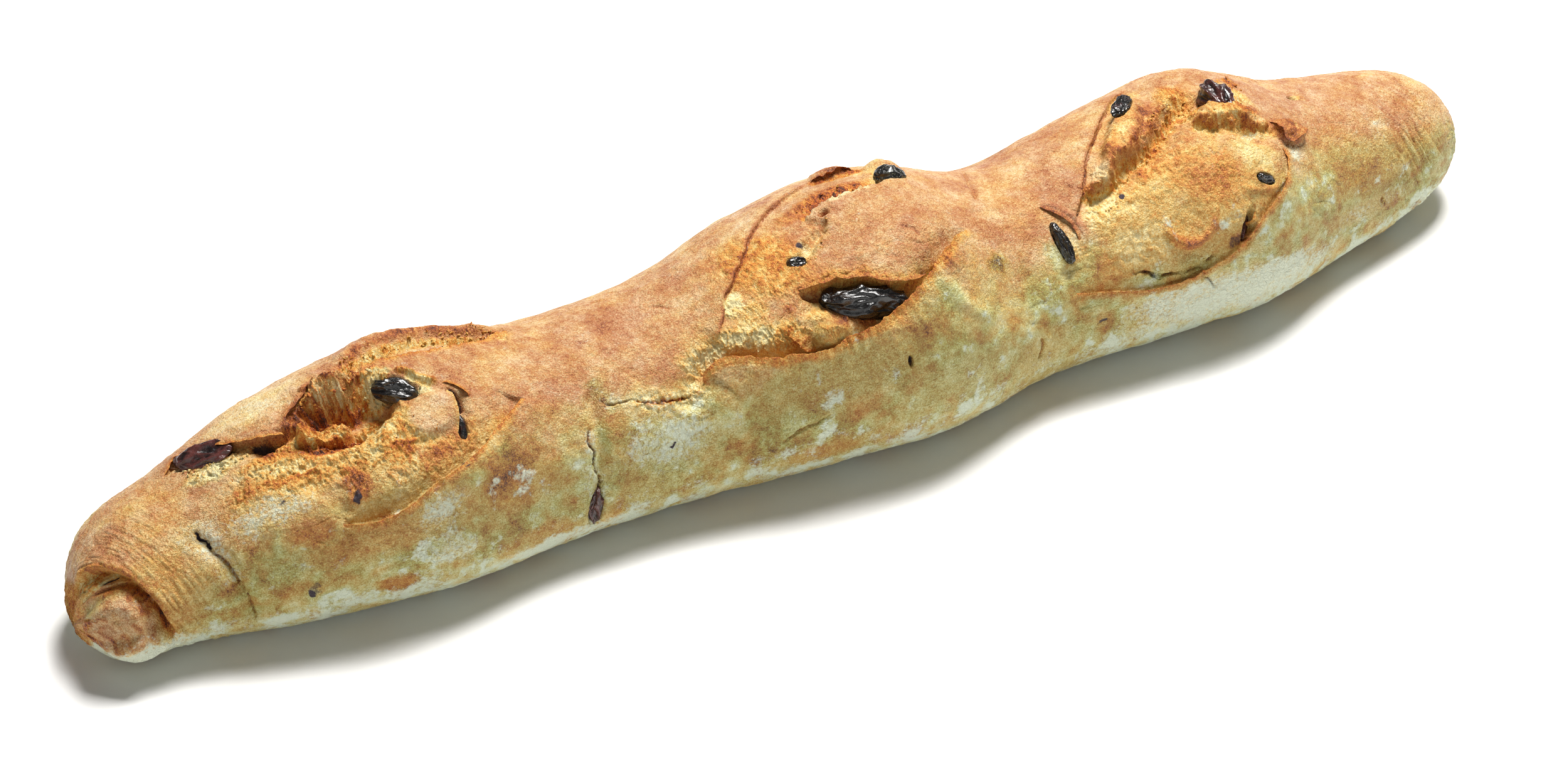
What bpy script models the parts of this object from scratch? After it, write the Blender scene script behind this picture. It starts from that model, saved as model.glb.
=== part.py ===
"""Olive ciabatta: one long hand-shaped loaf, slashed three times, with cut black olives in it.

The loaf lies along X with its folded tail at -X. A place on the crust is given by x, in
millimetres along the loaf, and by an angle in degrees round it, which is 0 on the ridge,
grows towards -Y down the near side and is negative on the far side. Lengths in the lists are
millimetres, and the finished meshes are in metres with +Z up.
"""

import math

import bmesh
import bpy
import numpy as np
from mathutils import Matrix, Vector

MM = 0.001

# The plain loaf: x, width, height and sideways shift of its cross-section
STATIONS = (
    (-210, 63.5, 50.0, 0.5),
    (-180, 51.0, 40.5, 2.5),
    (-150, 62.5, 49.5, 2.0),
    (-115, 69.5, 54.5, 0.0),
    (-80, 61.5, 48.5, -1.0),
    (-45, 62.5, 49.0, -2.0),
    (-10, 74.0, 59.0, -2.5),
    (25, 79.5, 62.0, -3.0),
    (60, 65.0, 51.0, -1.5),
    (95, 69.0, 55.0, -0.5),
    (130, 73.5, 57.5, 0.5),
    (165, 55.5, 44.0, 2.5),
    (190, 54.0, 43.0, 4.0),
    (212, 62.5, 49.5, 4.0),
)
LEFT_TIP, RIGHT_TIP = -209.0, 213.5
LEFT_CAP, RIGHT_CAP = 53.0, 55.0  # lengths over which the ends round off
LEFT_LIFT, RIGHT_LIFT = 9.0, 17.0  # rise of each tip off the table
LEFT_BLUNT, RIGHT_BLUNT = 2.2, 2.1
WIDEST_AT = 0.42  # share of the height at which a cross-section is widest
UPPER_BULGE, LOWER_BULGE = 2.15, 2.8  # powers of the section's upper and lower halves
FLAT_UNDER = 1.06  # how far the lower half would reach below the table, which flattens it
ROUND_PER_DEGREE = 0.58  # crust length of one degree round the loaf
LOAF_CENTRE = (2.4, -2.8)  # middle of the finished loaf's box, which becomes the origin

# The fine skin, before its flatter faces are merged
RINGS = 250
POINTS_PER_RING = 116
EVEN_SHARE = 0.35  # share of even spacing along the loaf; the rest crowds into the ends
TOP_CROWDING = 0.35
KEPT_FACES = 0.13  # share of the skin's triangles that the merging leaves

OLIVE_GAP = 0.35  # clear space round each olive in its pocket

# Olives: name, x, angle, how far the middle stands out, length, width, thickness, turn from
# the loaf's axis towards the near side in degrees, and how shrivelled the skin is
OLIVES = (
    ("olive_01", -167.0, -13, -0.9, 15.0, 7.0, 5.0, 60, 0.3),
    ("olive_02", -119.0, 9, -0.6, 13.5, 6.4, 6.0, 52, 0.5),
    ("olive_03", -110.0, 40, -0.6, 7.0, 3.2, 4.4, 88, 0.2),
    ("olive_04", 3.0, 43, -2.6, 21.0, 8.6, 9.0, 24, 0.9),
    ("olive_05", -7.5, 17, -0.4, 5.0, 3.4, 3.8, 40, 0.2),
    ("olive_06", 29.0, -15, 2.2, 9.6, 7.2, 7.2, 20, 0.3),
    ("olive_07", 105.0, -14, 1.4, 9.6, 5.2, 5.0, -20, 0.7),
    ("olive_08", 129.5, 1, 0.8, 13.4, 8.0, 7.6, 80, 0.5),
    ("olive_09", 67.0, 44, 0.0, 12.0, 5.0, 5.4, 88, 0.6),
    ("olive_10", 128.5, 52.5, 0.2, 5.2, 3.4, 4.0, 18, 0.2),
    ("olive_11", 120.8, 69, -0.2, 8.8, 3.6, 4.8, -50, 0.5),
    ("olive_12", -77.5, 98, -0.2, 12.0, 4.6, 5.4, 96, 0.3),
)


def smoothstep(value):
    """Ease from 0 to 1 as the value goes from 0 to 1."""
    value = np.clip(value, 0.0, 1.0)
    return value * value * (3.0 - 2.0 * value)


def through(column, x):
    """Read one column of STATIONS at x, on a smooth curve through the stations."""
    places = np.array([row[0] for row in STATIONS], float)
    values = np.array([row[column] for row in STATIONS], float)
    slopes = np.gradient(values, places)
    i = np.clip(np.searchsorted(places, x) - 1, 0, len(places) - 2)
    gap = places[i + 1] - places[i]
    t = (x - places[i]) / gap
    start = (2 * t**3 - 3 * t**2 + 1) * values[i] + (t**3 - 2 * t**2 + t) * gap * slopes[i]
    end = (3 * t**2 - 2 * t**3) * values[i + 1] + (t**3 - t**2) * gap * slopes[i + 1]
    return start + end


def end_caps(x):
    """Share of the full section left at x by the rounding of the left and right ends."""
    left = np.clip((x - LEFT_TIP) / LEFT_CAP, 0, 1)
    right = np.clip((RIGHT_TIP - x) / RIGHT_CAP, 0, 1)
    return np.sqrt(1 - (1 - left) ** LEFT_BLUNT), np.sqrt(1 - (1 - right) ** RIGHT_BLUNT)


def plain_loaf(x, angle):
    """Points of the loaf without its cuts, for x and the angle round it."""
    left, right = end_caps(x)
    half = np.maximum(through(1, x) * left * right, 1e-3) / 2
    height = np.maximum(through(2, x) * left * right, 1e-3)
    belly = WIDEST_AT * height
    turn = np.radians(angle)
    side, up = np.sin(turn), np.cos(turn)
    power = np.where(up > 0, UPPER_BULGE, LOWER_BULGE)
    reach = np.where(up > 0, height - belly, belly * FLAT_UNDER)
    radius = (np.abs(side / half) ** power + np.abs(up / reach) ** power) ** (-1 / power)
    lift = (1 - left) * LEFT_LIFT + (1 - right) * RIGHT_LIFT
    y = through(3, x) - radius * side
    z = np.maximum(belly + radius * up, 0) + lift
    return np.stack([x + 0 * y, y, z], -1)


def unit(vectors):
    return vectors / np.maximum(np.linalg.norm(vectors, axis=-1, keepdims=True), 1e-9)


def directions(x, angle):
    """Unit vectors at a place on the crust: out of it, along the loaf and round it."""
    x = np.clip(x, LEFT_TIP + 0.6, RIGHT_TIP - 0.6)
    along = unit(plain_loaf(x + 0.5, angle) - plain_loaf(x - 0.5, angle))
    around = unit(plain_loaf(x, angle + 0.5) - plain_loaf(x, angle - 0.5))
    out = unit(np.cross(around, along))
    return out, along, around


def smooth_line(points, pieces=6):
    """A smooth curve through the points, as short straight pieces, in crust millimetres."""
    line = np.array(points, float)
    line[:, 1] *= ROUND_PER_DEGREE
    before = np.vstack([2 * line[0] - line[1], line, 2 * line[-1] - line[-2]])
    curve = []
    for a, b, c, d in zip(before, before[1:], before[2:], before[3:]):
        for step in range(pieces):
            t = step / pieces
            curve.append(
                0.5 * (2 * b + (c - a) * t + (2 * a - 5 * b + 4 * c - d) * t * t
                       + (3 * b - a - 3 * c + d) * t**3)
            )
    return np.array(curve + [line[-1]])


class Crust:
    """How far each point of the skin is moved out, along the loaf, round it and down."""

    def __init__(self, x, angle):
        self.x = x
        self.angle = angle
        self.around_mm = angle * ROUND_PER_DEGREE
        self.out = np.zeros_like(x)
        self.along = np.zeros_like(x)
        self.around = np.zeros_like(x)
        self.down = np.zeros_like(x)

    def beside(self, points):
        """Signed distance from a line, positive on its right, and the share along it.

        A line that runs to +x has the near side of the loaf on its right.
        """
        curve = smooth_line(points)
        closest = np.full_like(self.x, 1e9)
        side = np.ones_like(self.x)
        share = np.zeros_like(self.x)
        normal = np.zeros((2,) + self.x.shape)
        for i, (start, end) in enumerate(zip(curve, curve[1:])):
            run = end - start
            length = max(np.hypot(*run), 1e-6)
            dx, dv = self.x - start[0], self.around_mm - start[1]
            t = np.clip((dx * run[0] + dv * run[1]) / length**2, 0, 1)
            distance = np.hypot(dx - t * run[0], dv - t * run[1])
            nearer = distance < closest
            closest = np.where(nearer, distance, closest)
            side = np.where(nearer, np.sign(run[0] * dv - run[1] * dx), side)
            share = np.where(nearer, (i + t) / (len(curve) - 1), share)
            normal[0] = np.where(nearer, -run[1] / length, normal[0])
            normal[1] = np.where(nearer, run[0] / length, normal[1])
        return closest * np.where(side == 0, 1, side), share, normal

    def groove(self, points, depth, width, ends=0.15):
        """Press a rounded furrow into the crust along a line, or raise it if depth is less
        than 0."""
        distance, share, _ = self.beside(points)
        fade = smoothstep(share / ends) * smoothstep((1 - share) / ends)
        self.out -= depth * fade * np.exp(-((distance / width) ** 2))

    def lip(self, points, rise, drop, back=6.0, run=6.0, hang=0.0, ends=0.12, edge=2.0):
        """Tear the crust along a line: it rises on the left and drops away on the right."""
        distance, share, normal = self.beside(points)
        fade = smoothstep(share / ends) * smoothstep((1 - share) / ends)
        right = smoothstep(distance / edge + 0.5)
        raised = (1 - right) * np.exp(-((distance / back) ** 2))
        dropped = right * np.exp(-((distance / run) ** 2))
        self.out += fade * (rise * raised - drop * dropped)
        self.along += fade * hang * raised * normal[0]
        self.around += fade * hang * raised * normal[1]

    def blob(self, place, size, height, turn=0.0, wall=1.0):
        """Raise an oval mound of the given half lengths, or sink it if height is negative.

        The wall is the share of the radius that its side takes.
        """
        self.out += height * self.oval(place, size, turn, wall)

    def oval(self, place, size, turn, wall):
        """1 in an oval of the given half lengths, falling to 0 across its wall."""
        spin = math.radians(turn)
        dx = self.x - place[0]
        dv = self.around_mm - place[1] * ROUND_PER_DEGREE
        lengthwise = (dx * math.cos(spin) + dv * math.sin(spin)) / size[0]
        across = (dv * math.cos(spin) - dx * math.sin(spin)) / size[1]
        return smoothstep((1 - np.hypot(lengthwise, across)) / wall)

    def sag(self, place, size, drop):
        """Let an oval patch of the crust hang lower."""
        self.down += drop * self.oval(place, size, 0.0, 1.0)

    def points(self):
        """The moved skin, in millimetres, standing on the table."""
        out, along, around = directions(self.x, self.angle)
        moved = plain_loaf(self.x, self.angle) + out * self.out[..., None]
        moved += along * self.along[..., None] + around * self.around[..., None]
        moved[..., 2] = np.maximum(moved[..., 2] - self.down, 0.0)
        return moved


def shape_left_score(crust):
    """The widest burst: a standing ear behind, a deep hollow and a torn rough apron."""
    crust.blob((-133, 24), (34, 19), -1.6, turn=8, wall=0.5)
    crust.lip([(-179, -18), (-173, -27), (-166, -20), (-162, -8), (-158, 0), (-154, 4), (-149, 7)],
              0.8, 2.2, back=8, run=5, hang=0.8)
    crust.lip([(-150, 9), (-147, -1), (-142, -6), (-137, -13), (-130, -16)],
              1.6, 1.6, back=8, run=4, hang=1.0)
    crust.lip([(-132, -14), (-124, -22), (-117, -29), (-108, -32), (-98, -31), (-89, -26), (-78, -22)],
              3.6, 6.4, back=7, run=5, hang=2.2, ends=0.22)
    crust.lip([(-79, -22), (-84, -18), (-93, -9), (-102, -6), (-112, -6), (-120, -8), (-129, -14)],
              1.2, 2.4, back=9, run=4, hang=0.8)
    crust.lip([(-147, 5), (-141, 3), (-136, -1), (-129, -4), (-123, -3), (-119, 4)],
              0.6, 6.0, back=4, run=5, hang=2.6)
    crust.blob((-133, 13), (15, 10.5), -8.0, turn=-12, wall=0.55)
    crust.blob((-152, 9), (9, 3.4), -3.0, turn=-10, wall=0.7)
    crust.blob((-139, 24), (5.5, 4.5), 5.0, wall=0.7)
    crust.blob((-115, 28), (9, 7), 1.8, turn=-20, wall=0.5)
    crust.lip([(-105, 32), (-107, 22), (-111, 16)], 1.0, 2.0, back=3, run=3, hang=-0.6)
    crust.groove([(-108, 30), (-108, 37), (-109, 45)], 2.0, 1.8)
    crust.lip([(-89, 30), (-91, 34), (-100, 44), (-107, 52), (-115, 57), (-122, 61), (-129, 66),
               (-135, 68), (-141, 67), (-147, 63)],
              1.8, 2.2, back=6, run=5, hang=0.8)
    crust.groove([(-152, 38), (-146, 50), (-143, 62)], 1.2, 2.5)


def shape_middle_score(crust):
    """A domed burst, its lower lip curling over the hollow with the largest olive."""
    crust.lip([(-36, 34), (-32, 25), (-29, 15), (-25, 9), (-20, 1), (-15, -8), (-10, -15),
               (-4, -22), (5, -28), (14, -33)],
              1.4, 2.6, back=7, run=5, hang=1.2)
    crust.blob((18, -35), (8, 4.6), 3.4, turn=12, wall=0.6)
    crust.blob((34, -29), (7.5, 5.2), 3.2, turn=10, wall=0.6)
    crust.lip([(37, -14), (30, -8), (21, -6), (14, -6), (8, -6), (3, -4), (0, -2)],
              1.2, 2.6, back=7, run=3, hang=0.5)
    crust.groove([(5, 1), (1, 7), (-4, 13), (-8, 19)], 2.8, 2.0)
    crust.blob((16, 16), (27, 19), 1.8, turn=-14, wall=0.7)
    crust.lip([(-17, 27), (-11, 29), (-5, 32), (0, 33), (5, 35), (9, 39), (14, 42), (21, 42),
               (27, 38), (34, 33), (41, 26)],
              2.4, 5.2, back=7, run=4.5, hang=1.8)
    crust.blob((1, 45), (17, 6.2), -5.6, turn=22, wall=0.6)
    crust.blob((-12, 41), (5.5, 5), -2.6, wall=0.7)
    crust.blob((-8, 53), (6.5, 4), 3.0, turn=10, wall=0.7)
    crust.lip([(41, 26), (37, 31), (31, 36), (26, 41), (20, 47), (15, 51), (8, 55), (2, 57),
               (-4, 57), (-9, 59), (-16, 57), (-24, 55), (-30, 50), (-35, 46), (-41, 46)],
              1.8, 3.0, back=6, run=4, hang=0.6)


def shape_right_score(crust):
    """A golden dome beside a toasted ridge, with a burst blister and three lips round it."""
    crust.lip([(71, 40), (76, 29), (80, 20), (83, 11), (88, 2), (93, -7), (100, -18), (106, -26),
               (114, -31)],
              1.4, 2.0, back=7, run=5, hang=1.0)
    crust.blob((99, 3), (20, 5.4), 2.8, turn=-46, wall=0.6)
    crust.lip([(80, 25), (86, 26), (91, 20), (96, 14), (100, 10), (106, 8), (112, 5), (117, -1),
               (123, -9)],
              1.6, 5.4, back=5, run=3.4, hang=1.6)
    crust.blob((127, -24), (13, 7.5), 3.4, turn=4, wall=0.6)
    crust.blob((124, 4), (7, 4), -2.4, turn=30, wall=0.7)
    crust.blob((107, 48), (29, 19), 1.8, turn=10, wall=0.6)
    crust.lip([(115, 15), (121, 15), (127, 13), (132, 14), (136, 19), (138, 26), (143, 30)],
              2.6, 3.6, back=3.4, run=3.4, hang=1.0)
    crust.blob((144, 28), (6.5, 4.2), 2.0, turn=18, wall=0.6)
    crust.blob((131, 30), (7, 3.2), -2.2, turn=26, wall=0.7)
    crust.groove([(98, 49), (97, 55), (99, 62), (103, 66), (108, 64), (111, 57), (110, 51)],
                 -1.6, 1.6, ends=0.25)
    crust.groove([(119, 51), (125, 55.5), (131, 56.5), (136, 52)], -1.4, 1.3)
    crust.lip([(139, 36), (139, 45), (136, 54), (131, 61), (124, 68), (119, 74), (114, 78),
               (107, 81), (98, 83), (90, 82), (83, 79), (76, 75), (70, 72), (65, 68)],
              1.8, 2.8, back=5, run=6, hang=0.8)
    crust.groove([(82, 67), (88, 73), (96, 77), (103, 78), (110, 76), (117, 72)], 1.6, 1.3)
    crust.groove([(68, 18), (70, 28), (72, 35), (74, 42)], -1.6, 1.5)


def shape_splits(crust):
    """The pale tear that runs off the middle score, and the two narrow cracks in the side."""
    crust.groove([(-33, 32), (-39, 38), (-44, 45), (-47, 54), (-50, 62)], 2.2, 3.4)
    crust.groove([(-71, 28), (-73, 44), (-74, 60), (-75, 75), (-77, 90), (-80, 110)], 1.5, 1.8)
    crust.groove([(-180, 34), (-177, 48), (-174, 61), (-172, 76), (-170, 92), (-169, 108)],
                 1.6, 1.8)


def shape_left_end(crust):
    """The end of the dough, folded under: a rolled lip round a stubby tail."""
    crust.lip([(-206, -20), (-205, 0), (-202, 15), (-199, 32), (-197, 46), (-195, 60), (-193, 74),
               (-191, 88), (-188, 106)],
              1.4, 3.4, back=5, run=3.2, hang=1.2, ends=0.2)
    crust.blob((-201, 86), (8.5, 24), 3.0, wall=0.6)
    crust.sag((-200, 114), (12, 26), 4.6)
    crust.groove([(-204, 60), (-200, 78), (-197, 100)], 0.8, 1.4)


def shape_swells(crust):
    """Slow hollows and swells that a loaf rolled by hand has."""
    crust.blob((-95, 75), (28, 14), -0.9)
    crust.blob((-25, 92), (30, 12), 0.9)
    crust.blob((45, 62), (16, 12), -1.0)
    crust.blob((60, -40), (26, 16), -0.8)
    crust.blob((-60, -55), (40, 18), 0.8)
    crust.blob((-150, -60), (34, 16), -0.8)
    crust.blob((178, 30), (24, 20), 0.7)
    crust.blob((100, -75), (30, 14), 0.8)


def shape_crust(crust):
    shape_swells(crust)
    shape_left_end(crust)
    shape_splits(crust)
    shape_left_score(crust)
    shape_middle_score(crust)
    shape_right_score(crust)


def on_origin(points):
    """Move points so that the loaf's box stands centred on the origin, and turn them to metres."""
    shifted = np.array(points, float)
    shifted[..., 0] -= LOAF_CENTRE[0]
    shifted[..., 1] -= LOAF_CENTRE[1]
    return shifted * MM


def move_vertices(mesh, points):
    """Give every vertex of a bmesh its new place, in its own order."""
    for vertex, point in zip(mesh.verts, points):
        vertex.co = point


def places_on_sphere(mesh):
    """The angle from the pole and the angle round the axis of each vertex of a unit sphere."""
    points = np.array([vertex.co for vertex in mesh.verts])
    polar = np.arccos(np.clip(points[:, 2], -1, 1))
    azimuth = np.degrees(np.arctan2(points[:, 1], points[:, 0]))
    return polar, azimuth


def material(name, colour, roughness):
    made = bpy.data.materials.new(name)
    made.use_nodes = True
    shader = made.node_tree.nodes["Principled BSDF"]
    shader.inputs["Base Color"].default_value = (*colour, 1.0)
    shader.inputs["Roughness"].default_value = roughness
    shader.inputs["Metallic"].default_value = 0.0
    return made


def finish(name, mesh, look):
    """Turn a bmesh into a smooth-shaded object."""
    bmesh.ops.recalc_face_normals(mesh, faces=mesh.faces)
    data = bpy.data.meshes.new(name)
    mesh.to_mesh(data)
    mesh.free()
    data.materials.append(look)
    data.shade_smooth()
    made = bpy.data.objects.new(name, data)
    bpy.context.collection.objects.link(made)
    return made


def make_loaf(look):
    """The loaf as one closed skin, its flatter faces merged into larger triangles."""
    mesh = bmesh.new()
    bmesh.ops.create_uvsphere(mesh, u_segments=POINTS_PER_RING, v_segments=RINGS, radius=1.0)
    polar, azimuth = places_on_sphere(mesh)
    crowded = (1 - np.cos(polar)) / 2
    share = EVEN_SHARE * polar / math.pi + (1 - EVEN_SHARE) * crowded
    x = LEFT_TIP + (RIGHT_TIP - LEFT_TIP) * share
    angle = azimuth - math.degrees(TOP_CROWDING) * np.sin(np.radians(azimuth))
    crust = Crust(x, angle)
    shape_crust(crust)
    move_vertices(mesh, on_origin(crust.points()))
    bmesh.ops.triangulate(mesh, faces=mesh.faces)
    loaf = finish("loaf", mesh, look)
    merging = loaf.modifiers.new("Merge flat faces", "DECIMATE")
    merging.ratio = KEPT_FACES
    return loaf


def olive_mesh(length, width, thickness, wrinkle, grow):
    """A cut olive as a dented, slightly bent oval. A pocket is the same shape, grown."""
    mesh = bmesh.new()
    segments, rings = (14, 9) if length > 9 else (11, 7)
    bmesh.ops.create_uvsphere(mesh, u_segments=segments, v_segments=rings, radius=1.0)
    points = np.array([vertex.co for vertex in mesh.verts])
    x, y, z = points[:, 2], points[:, 0], points[:, 1]
    dents = 1 + 0.05 * np.sin(5 * x + 2 * y + length) - 0.06 * wrinkle * np.cos(7 * y - 4 * z)
    bend = 0.10 * (x**2 - 0.4)
    half = np.array([length, width, thickness]) / 2 + grow
    shape = np.stack([x, y * dents + bend, z * dents], -1) * half
    move_vertices(mesh, shape)
    return mesh


def on_crust(x, angle, stand, turn):
    """Matrix that lays a piece on the crust: its X along the turned line, its Z outwards."""
    spot = Crust(np.array([float(x)]), np.array([float(angle)]))
    shape_crust(spot)
    out, along, around = (Vector(v[0]) for v in directions(spot.x, spot.angle))
    spin = math.radians(turn)
    length_way = (along * math.cos(spin) + around * math.sin(spin)).normalized()
    across = out.cross(length_way).normalized()
    place = Vector(on_origin(spot.points()[0])) + out * stand * MM
    turned = Matrix((length_way, across, out)).transposed().to_4x4()
    return Matrix.Translation(place) @ turned @ Matrix.Scale(MM, 4)


def make_olive(name, spec, look, grow=0.0):
    x, angle, stand, length, width, thickness, turn, wrinkle = spec
    mesh = olive_mesh(length, width, thickness, wrinkle, grow)
    bmesh.ops.transform(mesh, matrix=on_crust(x, angle, stand, turn), verts=mesh.verts)
    return finish(name, mesh, look)


def cut_pockets(loaf, look):
    """Cut the pocket of every olive out of the loaf."""
    cutters = bpy.data.collections.new("Olive pockets")
    bpy.context.scene.collection.children.link(cutters)
    for name, *spec in OLIVES:
        cutter = make_olive(name + "_pocket", spec, look, grow=OLIVE_GAP)
        bpy.context.collection.objects.unlink(cutter)
        cutters.objects.link(cutter)
        cutter.hide_render = True
        cutter.display_type = "WIRE"
    cut = loaf.modifiers.new("Olive pockets", "BOOLEAN")
    cut.operation = "DIFFERENCE"
    cut.operand_type = "COLLECTION"
    cut.collection = cutters


def main():
    for thing in list(bpy.data.objects):
        bpy.data.objects.remove(thing, do_unlink=True)
    crust_look = material("Browned crust", (0.55, 0.31, 0.12), 0.75)
    olive_look = material("Black olive", (0.025, 0.016, 0.014), 0.3)
    loaf = make_loaf(crust_look)
    cut_pockets(loaf, olive_look)
    for name, *spec in OLIVES:
        make_olive(name, spec, olive_look)


main()
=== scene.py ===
"""Looks of the olive ciabatta: crust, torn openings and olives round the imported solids.

The loaf lies along X with its folded tail at -X. A place on the crust is given by x, in
millimetres along the loaf, and by an angle in degrees round it, which is 0 on the ridge,
grows towards -Y down the near side and is negative on the far side. Lengths in the lists are
millimetres, and the finished meshes are in metres with +Z up.
"""

import math

import bmesh
import bpy
import numpy as np
from mathutils import Matrix, Vector


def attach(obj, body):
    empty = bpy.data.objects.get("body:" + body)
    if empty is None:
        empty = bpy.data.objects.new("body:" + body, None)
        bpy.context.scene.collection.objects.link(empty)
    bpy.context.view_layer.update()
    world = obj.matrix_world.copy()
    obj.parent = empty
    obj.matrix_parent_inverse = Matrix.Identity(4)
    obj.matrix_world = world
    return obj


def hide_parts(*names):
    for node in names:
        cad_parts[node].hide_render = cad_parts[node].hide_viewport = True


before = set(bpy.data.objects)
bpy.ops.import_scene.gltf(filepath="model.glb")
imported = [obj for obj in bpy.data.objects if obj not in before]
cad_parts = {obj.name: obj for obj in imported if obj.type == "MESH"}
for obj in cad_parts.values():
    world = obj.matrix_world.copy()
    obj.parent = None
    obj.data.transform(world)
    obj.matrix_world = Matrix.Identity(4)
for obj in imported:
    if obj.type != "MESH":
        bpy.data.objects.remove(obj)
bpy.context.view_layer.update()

MM = 0.001

# The plain loaf: x, width, height and sideways shift of its cross-section
STATIONS = (
    (-210, 63.5, 50.0, 0.5),
    (-180, 51.0, 40.5, 2.5),
    (-150, 62.5, 49.5, 2.0),
    (-115, 69.5, 54.5, 0.0),
    (-80, 61.5, 48.5, -1.0),
    (-45, 62.5, 49.0, -2.0),
    (-10, 74.0, 59.0, -2.5),
    (25, 79.5, 62.0, -3.0),
    (60, 65.0, 51.0, -1.5),
    (95, 69.0, 55.0, -0.5),
    (130, 73.5, 57.5, 0.5),
    (165, 55.5, 44.0, 2.5),
    (190, 54.0, 43.0, 4.0),
    (212, 62.5, 49.5, 4.0),
)
LEFT_TIP, RIGHT_TIP = -209.0, 213.5
LEFT_CAP, RIGHT_CAP = 53.0, 55.0  # lengths over which the ends round off
LEFT_LIFT, RIGHT_LIFT = 9.0, 17.0  # rise of each tip off the table
LEFT_BLUNT, RIGHT_BLUNT = 2.2, 2.1
WIDEST_AT = 0.42  # share of the height at which a cross-section is widest
UPPER_BULGE, LOWER_BULGE = 2.15, 2.8  # powers of the section's upper and lower halves
FLAT_UNDER = 1.06  # how far the lower half would reach below the table, which flattens it
ROUND_PER_DEGREE = 0.58  # crust length of one degree round the loaf
LOAF_CENTRE = (2.4, -2.8)  # middle of the finished loaf's box, which becomes the origin

# Fine tiles of crust over the coarse loaf: name, x from and to, angle from and to
TILES = (
    ("near_side", -180, 170, 74, 128),
    ("middle_burst", -68, 61, -46, 86),
    ("left_burst", -182, -61, -46, 84),
    ("right_burst", 54, 172, -46, 88),
    ("left_hollow", -176, -102, -32, 69),
    ("middle_hollow", -50, 40, 20, 64),
    ("right_ridge", 74, 154, -34, 48),
)
TILE_CELLS = 88000  # how many squares a tile has
TILE_STEP = 0.02  # how much each tile lies above the one before it
TILE_TUCK = 5.0  # width over which a tile's border dips under its neighbours
TUCK_DEPTH = 0.55
BASE_SINK = 0.9  # how deep the coarse loaf lies under the tiles
TUCK_FADE = 4.0  # width over which a lower skin sinks under a finer one
LOAF_ROUND, LOAF_RINGS = 190, 420  # steps round the coarse loaf and along it

# Fine caps over the two ends
END_LENGTH = 40.0
END_ROUND, END_RINGS = 320, 200
END_OUTSIDE = 0.94  # share of a cap's rings that are crust, while the rest close it inside
END_CROWDING = 22.0  # degrees by which a cap's rows crowd towards the ridge
END_ABOVE = 5  # the caps lie as high as this tile

# Olives: name, x, angle, how far the middle stands out, length, width, thickness, turn from
# the loaf's axis towards the near side in degrees, how shrivelled the skin is, at what share of
# its thickness the top is sliced, how brown it is, and how much pale dough clings to it
OLIVES = (
    ("olive_01", -167.8, -10, 1.5, 16.0, 7.0, 6.2, 32, 0.8, 0.3, 0.85, 0.05),
    ("olive_02", -119.5, 9, -0.9, 13.0, 6.4, 6.0, 44, 0.8, 1.0, 0.1, 0.1),
    ("olive_03", -108.6, 38, -0.9, 8.2, 3.0, 4.4, 100, 0.6, 0.6, 0.5, 0.3),
    ("olive_04", 3.5, 44.6, 0.0, 24.0, 8.4, 8.6, 22, 1.1, 1.0, 0.0, 0.12),
    ("olive_05", -8.5, 17, -0.6, 5.2, 3.2, 3.8, 20, 0.6, 0.6, 0.2, 0.5),
    ("olive_06", 29.4, -12, 2.0, 8.6, 6.6, 6.4, 20, 0.4, 1.0, 0.2, 0.55),
    ("olive_07", 103.6, -9.5, 0.9, 10.0, 4.6, 4.0, -34, 1.0, 0.35, 0.3, 0.1),
    ("olive_08", 128.4, 5.0, 1.2, 11.6, 8.4, 8.0, 80, 0.9, 1.0, 0.72, 0.05),
    ("olive_09", 66.8, 44, 0.2, 12.4, 3.5, 5.0, 84, 0.8, 1.0, 0.1, 0.3),
    ("olive_10", 128.3, 51.6, 0.2, 5.6, 2.4, 3.4, 29, 1.6, 0.5, 0.1, 0.2),
    ("olive_11", 119.6, 69, -1.4, 9.4, 3.4, 4.6, -64, 0.9, 0.4, 0.95, 0.3),
    ("olive_12", -77.5, 98, -0.8, 12.0, 4.4, 5.0, 96, 1.3, 0.7, 0.85, 0.0),
)
LARGE_OLIVE = 9.0  # an olive longer than this gets the finer mesh
FINE_OLIVE, SMALL_OLIVE = (110, 80), (64, 44)  # steps round an olive and along it
SLICE_LEAN = 0.45  # slope of the sliced face
SLICE_BULGE = 0.12  # how much of the skin's roundness the sliced face keeps
BED_MARGIN, BED_DEPTH = 0.3, 1.4
BED_EDGE_WIDTH, BED_EDGE_HEIGHT = 2.2, 0.7

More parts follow.
